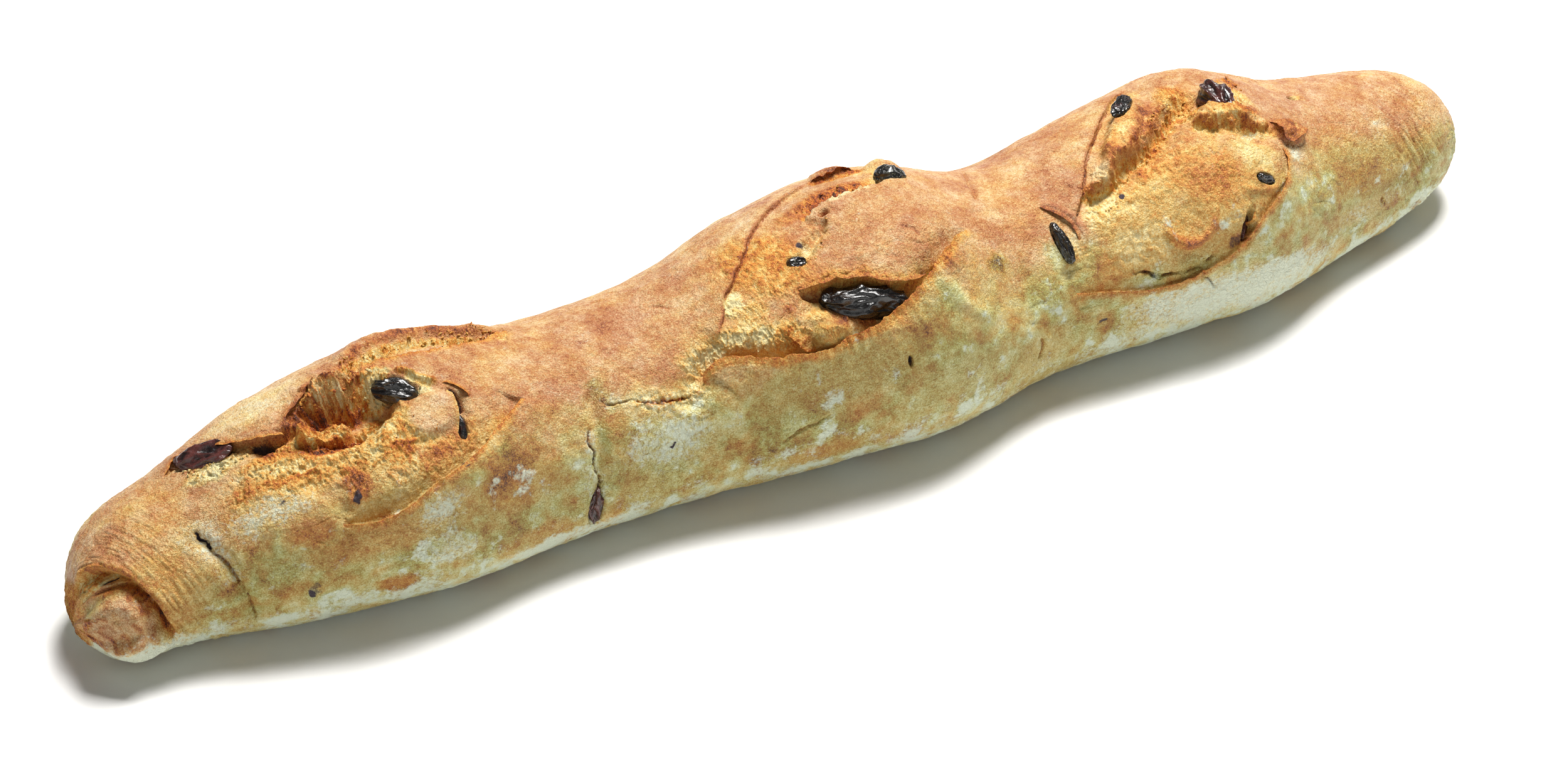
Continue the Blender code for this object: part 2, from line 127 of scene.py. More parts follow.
# Lines along which the crust is torn, as x and angle: the whole crust is on a line's left and
# the opening on its right
EDGES = dict(
    left_lip=[(-179, -18), (-173, -27), (-166, -20), (-162, -8), (-158, 0), (-154, 4), (-149, 7)],
    hollow_rim=[(-150, 9), (-147, -1), (-142, -6), (-137, -13), (-130, -16)],
    ear=[(-132, -14), (-124, -22), (-117, -29), (-108, -32), (-98, -31), (-89, -26), (-78, -22)],
    ear_crumb=[(-79, -22), (-84, -18), (-93, -9), (-102, -6), (-112, -6), (-120, -8), (-129, -14)],
    plate_edge=[(-111, 43), (-109.8, 37), (-108.8, 30), (-107.8, 22), (-107.4, 16)],
    plate_flap=[(-110, 13), (-107, 15), (-104.6, 19), (-103.2, 24), (-104, 28)],
    near_lip=[(-89, 30), (-91, 34), (-100, 44), (-107, 52), (-115, 57), (-122, 61), (-129, 66),
              (-135, 68), (-141, 67), (-147, 63)],
    far_lip=[(-36, 34), (-32, 25), (-29, 15), (-25, 9), (-20, 1), (-15, -8), (-10, -15), (-4, -22),
             (5, -28), (14, -33)],
    red_flap=[(12, -34), (15, -31.5), (19, -30.5), (23, -31), (26, -33)],
    fold_edge=[(65, 19), (67.4, 25), (69.6, 31), (71.4, 37), (72, 43), (71, 49)],
    olive_cap=[(24, -8), (24.5, -14), (26, -19), (29.5, -21), (34, -18)],
    crumb_groove=[(37, -14), (30, -8), (21, -6), (14, -6), (8, -6), (3, -4), (0, -2)],
    dome_lip=[(-14, 29), (-10, 30.5), (-5, 32), (-2, 32), (0, 33.5), (5, 36), (9, 40), (14, 42.5),
              (18, 43), (22, 42)],
    dome_side=[(20, 43), (24, 40.5), (28, 38), (32, 35)],
    orange_tab=[(-21, 43), (-18.5, 45), (-16, 49), (-14.5, 54), (-13, 58)],
    lower_edge=[(41, 26), (37, 31), (31, 36), (26, 41), (20, 47), (15, 51), (8, 55), (2, 57),
                (-4, 57.5), (-9, 59.5), (-16, 58), (-24, 55), (-30, 50), (-35, 46.5), (-41, 46.5),
                (-43, 53)],
    strip_back=[(71, 40), (76, 29), (80, 20), (83, 11), (88, 2), (93, -7), (100, -18), (106, -26),
                (114, -31)],
    strip_edge=[(79, 22), (81, 25.5), (85, 26), (89, 23), (93, 18), (97, 18), (101, 15), (106, 11),
                (112, 4), (117, -2), (123, -9)],
    ridge_flap=[(116, 13), (119, 17.5), (122, 20), (126, 21), (130, 23), (133, 26.5), (137, 28),
                (140, 26)],
    brown_flap=[(139.5, 23), (140, 30), (141, 36.5), (144.5, 36), (148, 32.5), (149, 27)],
    outer_lip=[(139, 36), (139, 45), (136, 54), (131, 61), (124, 68), (119, 74), (114, 78),
               (107, 81), (98, 83), (90, 82), (83, 79), (76, 75), (70, 72), (65, 68)],
    halo_lip=[(139, 46), (136, 53), (132, 56), (128, 56.5), (124, 55), (120, 51)],
    slit_lip=[(125, 61), (122.5, 65), (120, 69), (117.5, 72.5), (115, 75)],
    orange_spike=[(143, -14), (139, -8), (135, -3), (131, 2)],
)

# Tones of torn edges
TOASTED = dict(bake=0.8, rosy=0.6, flour=0, green=0)
ORANGE = dict(bake=0.56, rosy=0, flour=0, green=0, torn=0.8)

# Thin torn flakes along those lines: line, how far they stand out over the opening, reach back,
# lift and thickness, how ragged they are, and the tones of their edge
FLAKES = (
    ("left_lip", 1.0, 3.5, 0.3, 0.8, 0.8, ORANGE),
    ("hollow_rim", 0.5, 3.0, 0.3, 0.8, 0.7, TOASTED),
    ("ear_crumb", 0.8, 3.0, 0.2, 0.8, 0.8, ORANGE),
    ("plate_edge", 0.5, 3.0, 0.4, 1.2, 0.3, dict(bake=0.3, rosy=0.3)),
    ("plate_flap", 0.6, 2.4, 0.6, 0.6, 0.5, ORANGE),
    ("near_lip", 0.5, 3.2, 0.2, 0.8, 0.6, ORANGE),
    ("red_flap", 0.2, 2.6, 0.4, 0.4, 0.4, TOASTED),
    ("fold_edge", 0.4, 2.2, 0.2, 0.5, 0.3, TOASTED),
    ("olive_cap", 1.6, 4.0, 0.6, 1.0, 0.3, dict(bake=0.3, rosy=0.2)),
    ("dome_lip", 0.3, 3.0, 0.2, 0.7, 0.6, dict(bake=0.62, rosy=0.2, green=0)),
    ("orange_tab", 1.8, 3.0, 0.6, 0.9, 0.6, ORANGE),
    ("lower_edge", 0.8, 3.5, 0.3, 0.9, 0.7, ORANGE),
    ("brown_flap", 0.8, 3.0, 0.5, 0.7, 0.4, dict(bake=0.7, rosy=0.5, green=0)),
    ("outer_lip", 0.5, 3.2, 0.3, 0.7, 0.6, ORANGE),
    ("halo_lip", 0.3, 2.0, 0.2, 0.5, 0.3, ORANGE),
    ("slit_lip", 0.9, 2.4, 0.4, 0.7, 0.5, ORANGE),
    ("orange_spike", 2.4, 2.6, 1.0, 0.8, 0.9, ORANGE),
)
FLAKE_STEP = 0.35
FLAKE_ROWS = 12
FLAKE_TAPER = 4.0  # length over which a flake runs out at each end

# Shreds of crumb on the torn faces: x, angle, half lengths and turn of the patch, how many, the
# length of one, how baked, how green with flour
CRUMBS = (
    (-134, -5, 9, 3.2, -12, 130, 1.4, 0.60, 0.0),
    (-124, 1, 4, 4.0, -8, 60, 1.5, 0.22, 0.0),
    (-167, 0, 9, 3.2, 34, 70, 1.4, 0.14, 0.5),
    (-140, 15, 7, 4.2, 0, 30, 1.2, 0.36, 0.0),
    (-148, 30, 22, 8, 10, 110, 0.8, 0.50, 0.0),
    (-128, 36, 14, 9, -10, 90, 0.8, 0.56, 0.0),
    (-117, 12, 5, 2.0, 10, 24, 1.2, 0.20, 0.4),
    (-117, -24, 12, 2.6, -14, 130, 1.4, 0.42, 0.0),
    (-94, -27, 13, 2.6, 12, 130, 1.4, 0.42, 0.0),
    (-106, -17, 18, 4, -2, 40, 1.2, 0.36, 0.0),
    (10, -12, 10, 2.0, 0, 50, 1.1, 0.54, 0.0),
    (-1, 13, 8, 1.8, -40, 30, 1.0, 0.36, 0.1),
    (-30, 42, 12, 2.6, 20, 12, 0.9, 0.16, 0.1),
    (-17, 46, 4, 3.4, 30, 20, 1.0, 0.40, 0.0),
    (21.5, 45, 5, 1.2, -30, 26, 1.1, 0.16, 0.1),
    (102, 15, 15, 2.2, -40, 60, 1.2, 0.42, 0.0),
    (118, 2, 6, 5, 30, 80, 1.6, 0.40, 0.0),
    (127, 18, 10, 2.4, 14, 40, 1.2, 0.48, 0.0),
    (136, -4, 4, 3.4, 0, 30, 1.5, 0.54, 0.0),
    (84, 34, 6, 3, -30, 24, 0.9, 0.22, 0.0),
)

# The char tone paints burnt edges and also painted shade, dark in cracks, pits and gaps under lips
TONES = ("bake", "rosy", "green", "flour", "torn", "char", "stain")


def smoothstep(value):
    """Ease from 0 to 1 as the value goes from 0 to 1."""
    value = np.clip(value, 0.0, 1.0)
    return value * value * (3.0 - 2.0 * value)


def through(column, x):
    """Read one column of STATIONS at x, on a smooth curve through the stations."""
    places = np.array([row[0] for row in STATIONS], float)
    values = np.array([row[column] for row in STATIONS], float)
    slopes = np.gradient(values, places)
    i = np.clip(np.searchsorted(places, x) - 1, 0, len(places) - 2)
    gap = places[i + 1] - places[i]
    t = (x - places[i]) / gap
    start = (2 * t**3 - 3 * t**2 + 1) * values[i] + (t**3 - 2 * t**2 + t) * gap * slopes[i]
    end = (3 * t**2 - 2 * t**3) * values[i + 1] + (t**3 - t**2) * gap * slopes[i + 1]
    return start + end


def end_caps(x):
    """Shares of the full section left at x by the two rounded ends, and how far they lift it."""
    left = np.clip((x - LEFT_TIP) / LEFT_CAP, 0, 1)
    right = np.clip((RIGHT_TIP - x) / RIGHT_CAP, 0, 1)
    left, right = np.sqrt(1 - (1 - left) ** LEFT_BLUNT), np.sqrt(1 - (1 - right) ** RIGHT_BLUNT)
    return left, right, (1 - left) * LEFT_LIFT + (1 - right) * RIGHT_LIFT


def plain_loaf(x, angle):
    """Points of the loaf without its cuts, for x and the angle round it."""
    left, right, lift = end_caps(x)
    half = np.maximum(through(1, x) * left * right, 1e-3) / 2
    height = np.maximum(through(2, x) * left * right, 1e-3)
    belly = WIDEST_AT * height
    turn = np.radians(angle)
    side, up = np.sin(turn), np.cos(turn)
    power = np.where(up > 0, UPPER_BULGE, LOWER_BULGE)
    reach = np.where(up > 0, height - belly, belly * FLAT_UNDER)
    radius = (np.abs(side / half) ** power + np.abs(up / reach) ** power) ** (-1 / power)
    y = through(3, x) - radius * side
    z = np.maximum(belly + radius * up, 0) + lift
    return np.stack([x + 0 * y, y, z], -1)


def heart(x):
    """Points on the axis inside the loaf."""
    left, right, lift = end_caps(x)
    z = WIDEST_AT * through(2, x) * left * right + lift
    return np.stack([x + 0 * z, through(3, x), z], -1)


def unit(vectors):
    """The vectors at length 1."""
    return vectors / np.maximum(np.linalg.norm(vectors, axis=-1, keepdims=True), 1e-9)


def directions(x, angle):
    """Unit vectors at a place on the crust: out of it, along the loaf and round it."""
    x = np.clip(x, LEFT_TIP + 0.6, RIGHT_TIP - 0.6)
    along = unit(plain_loaf(x + 0.5, angle) - plain_loaf(x - 0.5, angle))
    around = unit(plain_loaf(x, angle + 0.5) - plain_loaf(x, angle - 0.5))
    out = unit(np.cross(around, along))
    return out, along, around


def smooth_line(points, pieces=6):
    """A smooth curve through the points, as short straight pieces, in crust millimetres."""
    line = np.array(points, float)
    line[:, 1] *= ROUND_PER_DEGREE
    before = np.vstack([2 * line[0] - line[1], line, 2 * line[-1] - line[-2]])
    curve = []
    for a, b, c, d in zip(before, before[1:], before[2:], before[3:]):
        for step in range(pieces):
            t = step / pieces
            curve.append(
                0.5 * (2 * b + (c - a) * t + (2 * a - 5 * b + 4 * c - d) * t * t
                       + (3 * b - a - 3 * c + d) * t**3)
            )
    return np.array(curve + [line[-1]])


# Random slopes, and the large primes that pick one of them for each cell of the noise
SLOPE_COUNT = 4096
SLOPES = unit(np.random.default_rng(11).normal(size=(SLOPE_COUNT, 3))).astype(np.float32)
STIR = (73856093, 19349663, 83492791)
SEED_SHIFT, SEED_STIR = 7.31, 1013


def noise(points, size, seed):
    """Smooth random values, mostly between -1 and 1, with swells of the given size in mm."""
    keys, steps, shares = [], [], []
    for axis in range(3):
        spots = points[:, axis] / size + seed * SEED_SHIFT
        cell = np.floor(spots)
        within = (spots - cell).astype(np.float32)
        ease = within**3 * (within * (within * 6 - 15) + 10)
        key = cell.astype(np.int64) * STIR[axis]
        keys.append((key, key + STIR[axis]))
        steps.append((within, within - 1))
        shares.append((1 - ease, ease))
    total = np.zeros(len(points), np.float32)
    for i in (0, 1):
        for j in (0, 1):
            pair = keys[0][i] ^ keys[1][j]
            share = shares[0][i] * shares[1][j]
            for k in (0, 1):
                key = (pair ^ keys[2][k]) + seed * SEED_STIR
                key = (key ^ (key >> 9)) % SLOPE_COUNT
                slope = steps[0][i] * SLOPES[key, 0] + steps[1][j] * SLOPES[key, 1]
                slope += steps[2][k] * SLOPES[key, 2]
                total += share * shares[2][k] * slope
    return total * 1.7


def ridges(points, size, seed):
    """Random crests from 0 to 1, sharp at their tops."""
    return 1 - np.minimum(np.abs(noise(points, size, seed)) * 2.0, 1)


def bubbles(places, size, seed):
    """Round pits from 0 to 1, one at random in most cells of a flat grid of the given size."""
    spots = places / size
    cell = np.floor(spots).astype(np.int64)
    deepest = np.zeros(len(places))
    for dx in (-1, 0, 1):
        for dv in (-1, 0, 1):
            key = ((cell[:, 0] + dx) * STIR[0]) ^ ((cell[:, 1] + dv) * STIR[1]) ^ (seed * STIR[2])
            key = (key ^ (key >> 11)) % SLOPE_COUNT
            gap_x = spots[:, 0] - cell[:, 0] - dx - 0.5 - 0.42 * SLOPES[key, 0]
            gap_v = spots[:, 1] - cell[:, 1] - dv - 0.5 - 0.42 * SLOPES[key, 1]
            radius = np.maximum(0.30 + 0.28 * SLOPES[key, 2], 0.05)
            depth = 1 - (gap_x**2 + gap_v**2) / radius**2
            deepest = np.maximum(deepest, np.maximum(depth, 0) * radius * 2)
    return deepest


class Crust:
    """How far points of the skin are moved, and the tones painted on them."""

    def __init__(self, x, angle, detail=1.0):
        self.x = x
        self.angle = angle
        self.around_mm = angle * ROUND_PER_DEGREE
        self.out = np.zeros_like(x)
        self.along = np.zeros_like(x)
        self.around = np.zeros_like(x)
        self.down = np.zeros_like(x)
        self.detail = detail
        self.tone = {name: np.zeros_like(x) for name in TONES}
        self.body = plain_loaf(x, angle)
        self.flat = np.stack([x, self.around_mm, np.zeros_like(x)], -1)
        self.wander_x = self.wander(1, 2, 7)
        self.wander_v = self.wander(3, 4, 8)

    def wander(self, wide_seed, middle_seed, fine_seed):
        """How far torn edges stray from their drawn lines, which a coarse skin leaves out."""
        if not self.detail:
            return np.zeros_like(self.x)
        return (noise(self.flat, 5.0, wide_seed) * 0.9 + noise(self.flat, 1.7, middle_seed) * 0.5
                + noise(self.flat, 0.8, fine_seed) * 0.22)

    def beside(self, points, reach, ragged=0.0):
        """Points near a line: their numbers, signed distance, share along it and its normal.

        The distance is positive on the line's right. A line that runs to +x has the near
        side of the loaf on its right.
        """
        curve = smooth_line(points)
        low, high = curve.min(0) - reach, curve.max(0) + reach
        near = np.nonzero((self.x > low[0]) & (self.x < high[0])
                          & (self.around_mm > low[1]) & (self.around_mm < high[1]))[0]
        x = self.x[near] + ragged * self.wander_x[near]
        v = self.around_mm[near] + ragged * self.wander_v[near]
        closest = np.full(len(near), 1e9)
        side = np.ones(len(near))
        share = np.zeros(len(near))
        normal = np.zeros((2, len(near)))
        for i, (start, end) in enumerate(zip(curve, curve[1:])):
            run = end - start
            length = max(np.hypot(*run), 1e-6)
            dx, dv = x - start[0], v - start[1]
            t = np.clip((dx * run[0] + dv * run[1]) / length**2, 0, 1)
            distance = np.hypot(dx - t * run[0], dv - t * run[1])
            nearer = distance < closest
            closest = np.where(nearer, distance, closest)
            side = np.where(nearer, np.sign(run[0] * dv - run[1] * dx), side)
            share = np.where(nearer, (i + t) / (len(curve) - 1), share)
            normal[0] = np.where(nearer, -run[1] / length, normal[0])
            normal[1] = np.where(nearer, run[0] / length, normal[1])
        return near, closest * np.where(side == 0, 1, side), share, normal

    def near_line(self, points, reach, ragged, ends):
        """Points beside a line, their distance from it and how its strength fades at its ends."""
        near, distance, share, _ = self.beside(points, reach, ragged)
        return near, distance, smoothstep(share / ends) * smoothstep((1 - share) / ends)

    def paint(self, near, cover, tones):
        """Bring tones towards the given strengths where the cover is high."""
        for name, strength in tones.items():
            before = self.tone[name][near]
            self.tone[name][near] = before + (strength - before) * np.clip(cover, 0, 1)

    def groove(self, points, depth, width, ends=0.15, ragged=0.3, wide=1.5, **tones):
        """Press a furrow into the crust along a line, or raise it if depth is less than 0.

        The tones reach a little wider than the furrow.
        """
        near, distance, fade = self.near_line(points, width * 3.5, ragged, ends)
        self.out[near] -= depth * fade * np.exp(-((distance / width) ** 2))
        if tones:
            self.paint(near, fade * np.exp(-((distance / (width * wide)) ** 4)), tones)

    def stroke(self, points, width, ends=0.1, ragged=1.0, soft=2, **tones):
        """Paint tones along a line."""
        near, distance, fade = self.near_line(points, width * 2.5, ragged, ends)
        self.paint(near, fade * np.exp(-(np.abs(distance / width) ** soft)), tones)

    def lip(self, points, rise, drop, back=6.0, run=6.0, hang=0.0, ends=0.12, edge=1.3,
            ragged=0.8, jag=0.0, rim=None, wall=None, rim_width=1.0, wall_reach=1.0):
        """Tear the crust along a line: it rises on the left and drops away on the right.

        Rim tones colour the raised edge, and wall tones the face that drops away.
        """
        reach = max(back, run) * 2.6
        near, distance, share, normal = self.beside(points, reach, ragged)
        fade = smoothstep(share / ends) * smoothstep((1 - share) / ends)
        if jag:
            way = np.stack([share * 3.0 * len(points), 0 * share, 0 * share], -1)
            teeth = noise(way, 1.6, 71) + 0.5 * noise(way, 0.6, 72)
            distance = distance + 1.2 * jag * teeth
            rise = rise * (1 + 0.9 * jag * noise(way, 1.1, 73))
        right = smoothstep(distance / edge + 0.5)
        raised = (1 - right) * np.exp(-((distance / back) ** 2))
        dropped = right * np.exp(-((distance / run) ** 2))
        self.out[near] += fade * (rise * raised - drop * dropped)
        self.along[near] += fade * hang * raised * normal[0]
        self.around[near] += fade * hang * raised * normal[1]
        if wall:
            cover = smoothstep(distance / 0.5 + 0.5) * np.exp(-((distance / (run * wall_reach)) ** 4))
            self.paint(near, np.minimum(fade * 3, 1) * cover, wall)
        if rim:
            cover = np.exp(-(((distance + 0.4) / rim_width) ** 2))
            self.paint(near, np.minimum(fade * 2, 1) * cover, rim)

    def oval(self, place, size, turn, wall, ragged=0.0):
        """1 in an oval of the given half lengths, falling to 0 across its wall."""
        spin = math.radians(turn)
        dx = self.x - place[0] + ragged * self.wander_x
        dv = self.around_mm - place[1] * ROUND_PER_DEGREE + ragged * self.wander_v
        lengthwise = (dx * math.cos(spin) + dv * math.sin(spin)) / size[0]
        across = (dv * math.cos(spin) - dx * math.sin(spin)) / size[1]
        return smoothstep((1 - np.hypot(lengthwise, across)) / wall)

    def blob(self, place, size, height, turn=0.0, wall=1.0, ragged=0.0, **tones):
        """Raise an oval mound of the given half lengths, or sink it if height is negative.

        The wall is the share of the radius that its side takes.
        """
        cover = self.oval(place, size, turn, wall, ragged)
        self.out += height * cover
        if tones:
            self.paint(slice(None), cover * 1.2, tones)

    def dab(self, place, size, turn=0.0, wall=0.7, ragged=1.6, **tones):
        """Paint tones on an oval patch."""
        self.paint(slice(None), self.oval(place, size, turn, wall, ragged), tones)

    def crumb(self, place, size, torn, bake, **more):
        """Paint an oval patch of bare crumb, which takes no rosy tint."""
        self.dab(place, size, torn=torn, bake=bake, rosy=0, **more)

    def sag(self, place, size, drop):
        """Let an oval patch of the crust hang lower."""
        self.down += drop * self.oval(place, size, 0.0, 1.0)

    def points(self):
        """The moved skin, in millimetres, standing on the table."""
        out, along, around = directions(self.x, self.angle)
        moved = self.body + out * self.out[..., None]
        moved += along * self.along[..., None] + around * self.around[..., None]
        moved[..., 2] = np.maximum(moved[..., 2] - self.down, 0.0)
        return moved


def shape_left_score(crust):
    """The widest burst: a standing ear behind, a deep hollow and a torn rough apron."""
    crust.blob((-133, 24), (34, 19), -1.6, turn=8, wall=0.5)
    crust.lip(EDGES["left_lip"], 1.0, 2.2, back=8, run=5, hang=0.7, edge=0.9, jag=0.25,
              rim=dict(bake=0.62, flour=0, green=0), wall=dict(torn=0.8, bake=0.35))
    crust.lip(EDGES["hollow_rim"], 0.9, 1.0, back=8, run=4, hang=0.3, edge=1.6, jag=0.3,
              rim=dict(bake=0.72, rosy=0.8, flour=0), wall=dict(torn=1.0, bake=0.7))
    crust.lip(EDGES["ear"], 2.6, 4.4, back=7, run=6, hang=0.2, ends=0.2, edge=5.6, jag=0.25,
              wall=dict(torn=1.3, bake=0.38, rosy=0), wall_reach=1.3)
    crust.stroke([(-131, -15), (-124, -23.5), (-117, -31), (-108, -34.5), (-98, -33.5), (-89, -28),
                 (-79, -23)], 0.8, bake=0.72, rosy=0.8, torn=0.6)
    crust.stroke([(-124, -17), (-116, -23), (-108, -25), (-98, -24), (-90, -20)], 1.4, torn=1.1,
                 bake=0.1, rosy=0)
    crust.lip(EDGES["ear_crumb"], 1.0, 2.0, back=9, run=4, hang=0.8, edge=0.9, jag=0.4,
              rim=dict(bake=0.5, torn=0.4))
    crust.lip([(-147, 5), (-141, 3), (-136, -1), (-129, -4), (-123, -3), (-119, 4)],
              0.6, 4.2, back=4, run=5, hang=0.3, edge=6.0, jag=0.6, ragged=1.4,
              rim=dict(bake=0.74, rosy=0.7, torn=0.7), rim_width=2.0,
              wall=dict(torn=1.2, bake=0.62, rosy=0))
    crust.blob((-133, 14), (15, 10), -7, turn=-12, wall=0.5, ragged=1)
    crust.blob((-152, 9), (9, 3.4), -3, turn=-10, wall=0.7, ragged=0.6)
    crust.blob((-135, -5), (9, 4), 4, turn=-12, wall=0.7, ragged=1.8)
    crust.blob((-123.5, 1), (4.5, 5.5), 2.4, turn=-20, wall=0.7, ragged=0.8)
    crust.blob((-140.5, 15), (7.6, 4.6), 5.2, turn=4, wall=0.3, ragged=0.7)
    crust.groove([(-148.5, 14), (-146, 24), (-141, 28), (-135, 25), (-131, 18)], 1.4, 1.1)
    crust.blob((-115, 28), (9, 7), 1.8, turn=-20, wall=0.4)
    crust.groove([(-105.6, 20), (-106.4, 28), (-107.4, 36), (-108.6, 44)], 1.7, 1.4)
    crust.groove([(-118, 0), (-115.4, 4), (-112.6, 10), (-109, 14)], -1.2, 0.8, ragged=0.6,
                 bake=0.54, rosy=0, torn=0.9)
    crust.groove([(-116, 5), (-113.6, 10), (-111, 14.5)], 0.9, 0.7, ragged=0.6, bake=0.2, rosy=0,
                 torn=0.8, green=0.5)
    crust.lip(EDGES["near_lip"], 1.4, 1.5, back=6, run=6, hang=0.5, ragged=0.3, edge=1.0, jag=0.2,
              rim=dict(bake=0.58, torn=0.2, green=0), rim_width=0.8)
    crust.groove([(-152, 38), (-146, 50), (-143, 62)], 1.2, 2.5, ragged=1)


def shape_middle_score(crust):
    """A domed burst, its lower lip curling over the hollow with the largest olive."""
    crust.lip(EDGES["far_lip"], 0.8, 0.5, back=6, run=5, hang=0.9, ragged=0.3, edge=0.8, jag=0.25,
              rim=dict(bake=0.66, rosy=0.8), rim_width=0.6)
    crust.groove([(-35, 30), (-31.6, 24), (-28.6, 15), (-24.6, 9), (-19.6, 1), (-14.6, -8),
                 (-9.6, -15), (-3.6, -22), (5, -28)], 0.7, 0.4, ragged=0.3, wide=1.2, bake=0.8,
                 char=0.25)
    crust.blob((19, -36), (6.5, 3.4), 1.3, turn=12, wall=0.7, ragged=0.5, bake=0.6, rosy=0.9)
    crust.lip(EDGES["red_flap"], 0.7, 1.4, back=4, run=3, edge=2.2, jag=0.3,
              rim=dict(bake=0.78, rosy=0.6), rim_width=0.8, wall=dict(bake=0.62, torn=1.0, rosy=0))
    crust.blob((32.5, -27), (6.5, 4.8), 2.4, turn=10, wall=0.8)
    crust.lip(EDGES["crumb_groove"], 1.3, 2.6, back=7, run=3, hang=0.3, edge=1.1, jag=0.2,
              rim=dict(bake=0.4), wall=dict(torn=1.0, bake=0.52, rosy=0), wall_reach=1.6)
    crust.groove([(5, 1), (1, 7), (-4, 13), (-8, 19)], 2.8, 1.8, ragged=1, torn=0.7, bake=0.42)
    crust.blob((16, 14), (26, 18), 1.4, turn=-14, wall=0.7)
    crust.lip(EDGES["dome_lip"], 1.3, 2.8, back=7, run=4.5, hang=0.1, ends=0.25, ragged=0.5, edge=2.0,
              jag=0.25, rim=dict(bake=0.56, rosy=0, torn=0.5), rim_width=1.3,
              wall=dict(bake=0.44, torn=0.4, rosy=0.2))
    crust.lip(EDGES["dome_side"], 0.4, 1.2, back=5, run=1.5, hang=0.2, ragged=0.5, edge=1.2, jag=0.3,
              rim=dict(bake=0.58, rosy=0.5), rim_width=0.9, wall=dict(bake=0.14, torn=0.9, rosy=0))
    crust.blob((2, 45), (16, 6.4), -2.4, turn=24, wall=0.6, ragged=0.5)
    crust.blob((-10, 38), (5.5, 4), -1.4, wall=0.7, ragged=0.6)
    crust.blob((-8, 53), (6.5, 4), 3.2, turn=10, wall=0.6)
    crust.lip(EDGES["lower_edge"], 1.6, 2.8, back=6, run=4, hang=0.7, ragged=0.4, edge=0.9, jag=0.35,
              rim=dict(bake=0.54, rosy=0, green=0, torn=0.5), rim_width=0.9)


def shape_right_score(crust):
    """A golden dome beside a toasted ridge, with a burst blister and three lips round it."""
    crust.lip(EDGES["strip_back"], 0.8, 0.6, back=6, run=5, hang=0.8, ragged=0.35, edge=0.8, jag=0.3,
              rim=dict(bake=0.64, rosy=0.8), rim_width=0.6)
    crust.groove([(72, 39), (76.6, 29), (80.6, 20), (83.6, 11), (88.6, 2), (93.6, -7), (100.6, -18),
                 (107, -26)], 0.7, 0.4, ragged=0.35, wide=1.2, bake=0.8, char=0.2)
    crust.blob((99, 3), (20, 5.4), 2.8, turn=-46, wall=0.5, ragged=0.8)
    crust.lip(EDGES["strip_edge"], 1.8, 4.6, back=5, run=5, ragged=1.2, edge=4.6, jag=0.35,
              wall=dict(torn=1.2, bake=0.42, rosy=0, green=0), wall_reach=0.8)
    crust.stroke([(78, 21), (81, 23.5), (85, 24), (89, 20), (93, 15), (97, 14), (101, 11), (106, 7),
                 (111, 0), (116, -7)], 1.2, bake=0.74, rosy=0.5, torn=0.9)
    crust.blob((127, -24), (13, 7.5), 1.3, turn=4, wall=0.8)
    crust.blob((124, 4), (7, 4), -2.4, turn=30, wall=0.7, ragged=0.8)
    crust.blob((107, 45), (29, 20), 1.1, turn=10, wall=0.9)
    crust.blob((127, 17), (11, 4.6), 2.4, turn=12, wall=0.5, ragged=1.2)
    crust.lip(EDGES["ridge_flap"], 1.2, 1.6, back=4, run=3, ragged=1.2, edge=2.6, jag=0.5,
              rim=dict(bake=0.66, rosy=0.4, torn=0.9), rim_width=1.2,
              wall=dict(torn=0.9, bake=0.26, rosy=0))
    crust.blob((144, 31), (6, 4.4), 2.6, turn=20, wall=0.5, ragged=1)
    crust.blob((146.5, 28), (2, 1.2), -2, turn=20, wall=0.8, ragged=0.6)
    crust.blob((131.5, 31.5), (6.5, 3), -1.6, turn=24, wall=0.6, ragged=0.4)
    crust.blob((103, 55), (6.4, 6), -0.9, wall=0.7)
    crust.groove([(95.6, 52), (96, 58), (98.4, 63), (103, 66.5), (108, 64), (110.5, 58),
                 (110.6, 51)], -1.3, 1, ends=0.3, bake=0.62)
    crust.groove([(97, 63), (103, 67.5), (108.5, 64.5)], -0.6, 0.8, ends=0.4, bake=0.74, green=0)
    crust.groove([(119, 51), (125, 55.5), (131, 56.5), (136, 52)], -0.8, 0.9, bake=0.54, rosy=0)
    crust.lip(EDGES["outer_lip"], 0.7, 0.2, back=4, run=3, hang=0.4, ragged=0.4, edge=0.9, jag=0.2,
              rim=dict(bake=0.55, rosy=0.3, flour=0, green=0), rim_width=0.8)
    crust.blob((119.5, 69), (6.4, 2.6), -1.8, turn=-64, wall=0.6, ragged=0.4)
    crust.groove([(66, 18), (68.8, 24), (71, 30), (73, 36), (73.6, 43), (72.6, 50)], -0.8, 1,
                 ragged=0.15, bake=0.6, rosy=1)


def shape_splits(crust):
    """The pale tear that runs off the middle score, and the two narrow cracks in the side."""
    crust.groove([(-33, 32), (-39, 38), (-44, 45), (-47, 54), (-50, 62)], 2.2, 3.4)
    crust.groove([(-71, 28), (-73, 44), (-74, 60), (-75, 75), (-77, 90), (-80, 110)], 1.5, 1.8)
    crust.groove([(-180, 34), (-177, 48), (-174, 61), (-172, 76), (-170, 92), (-169, 108)], 1.6,
                 1.8)


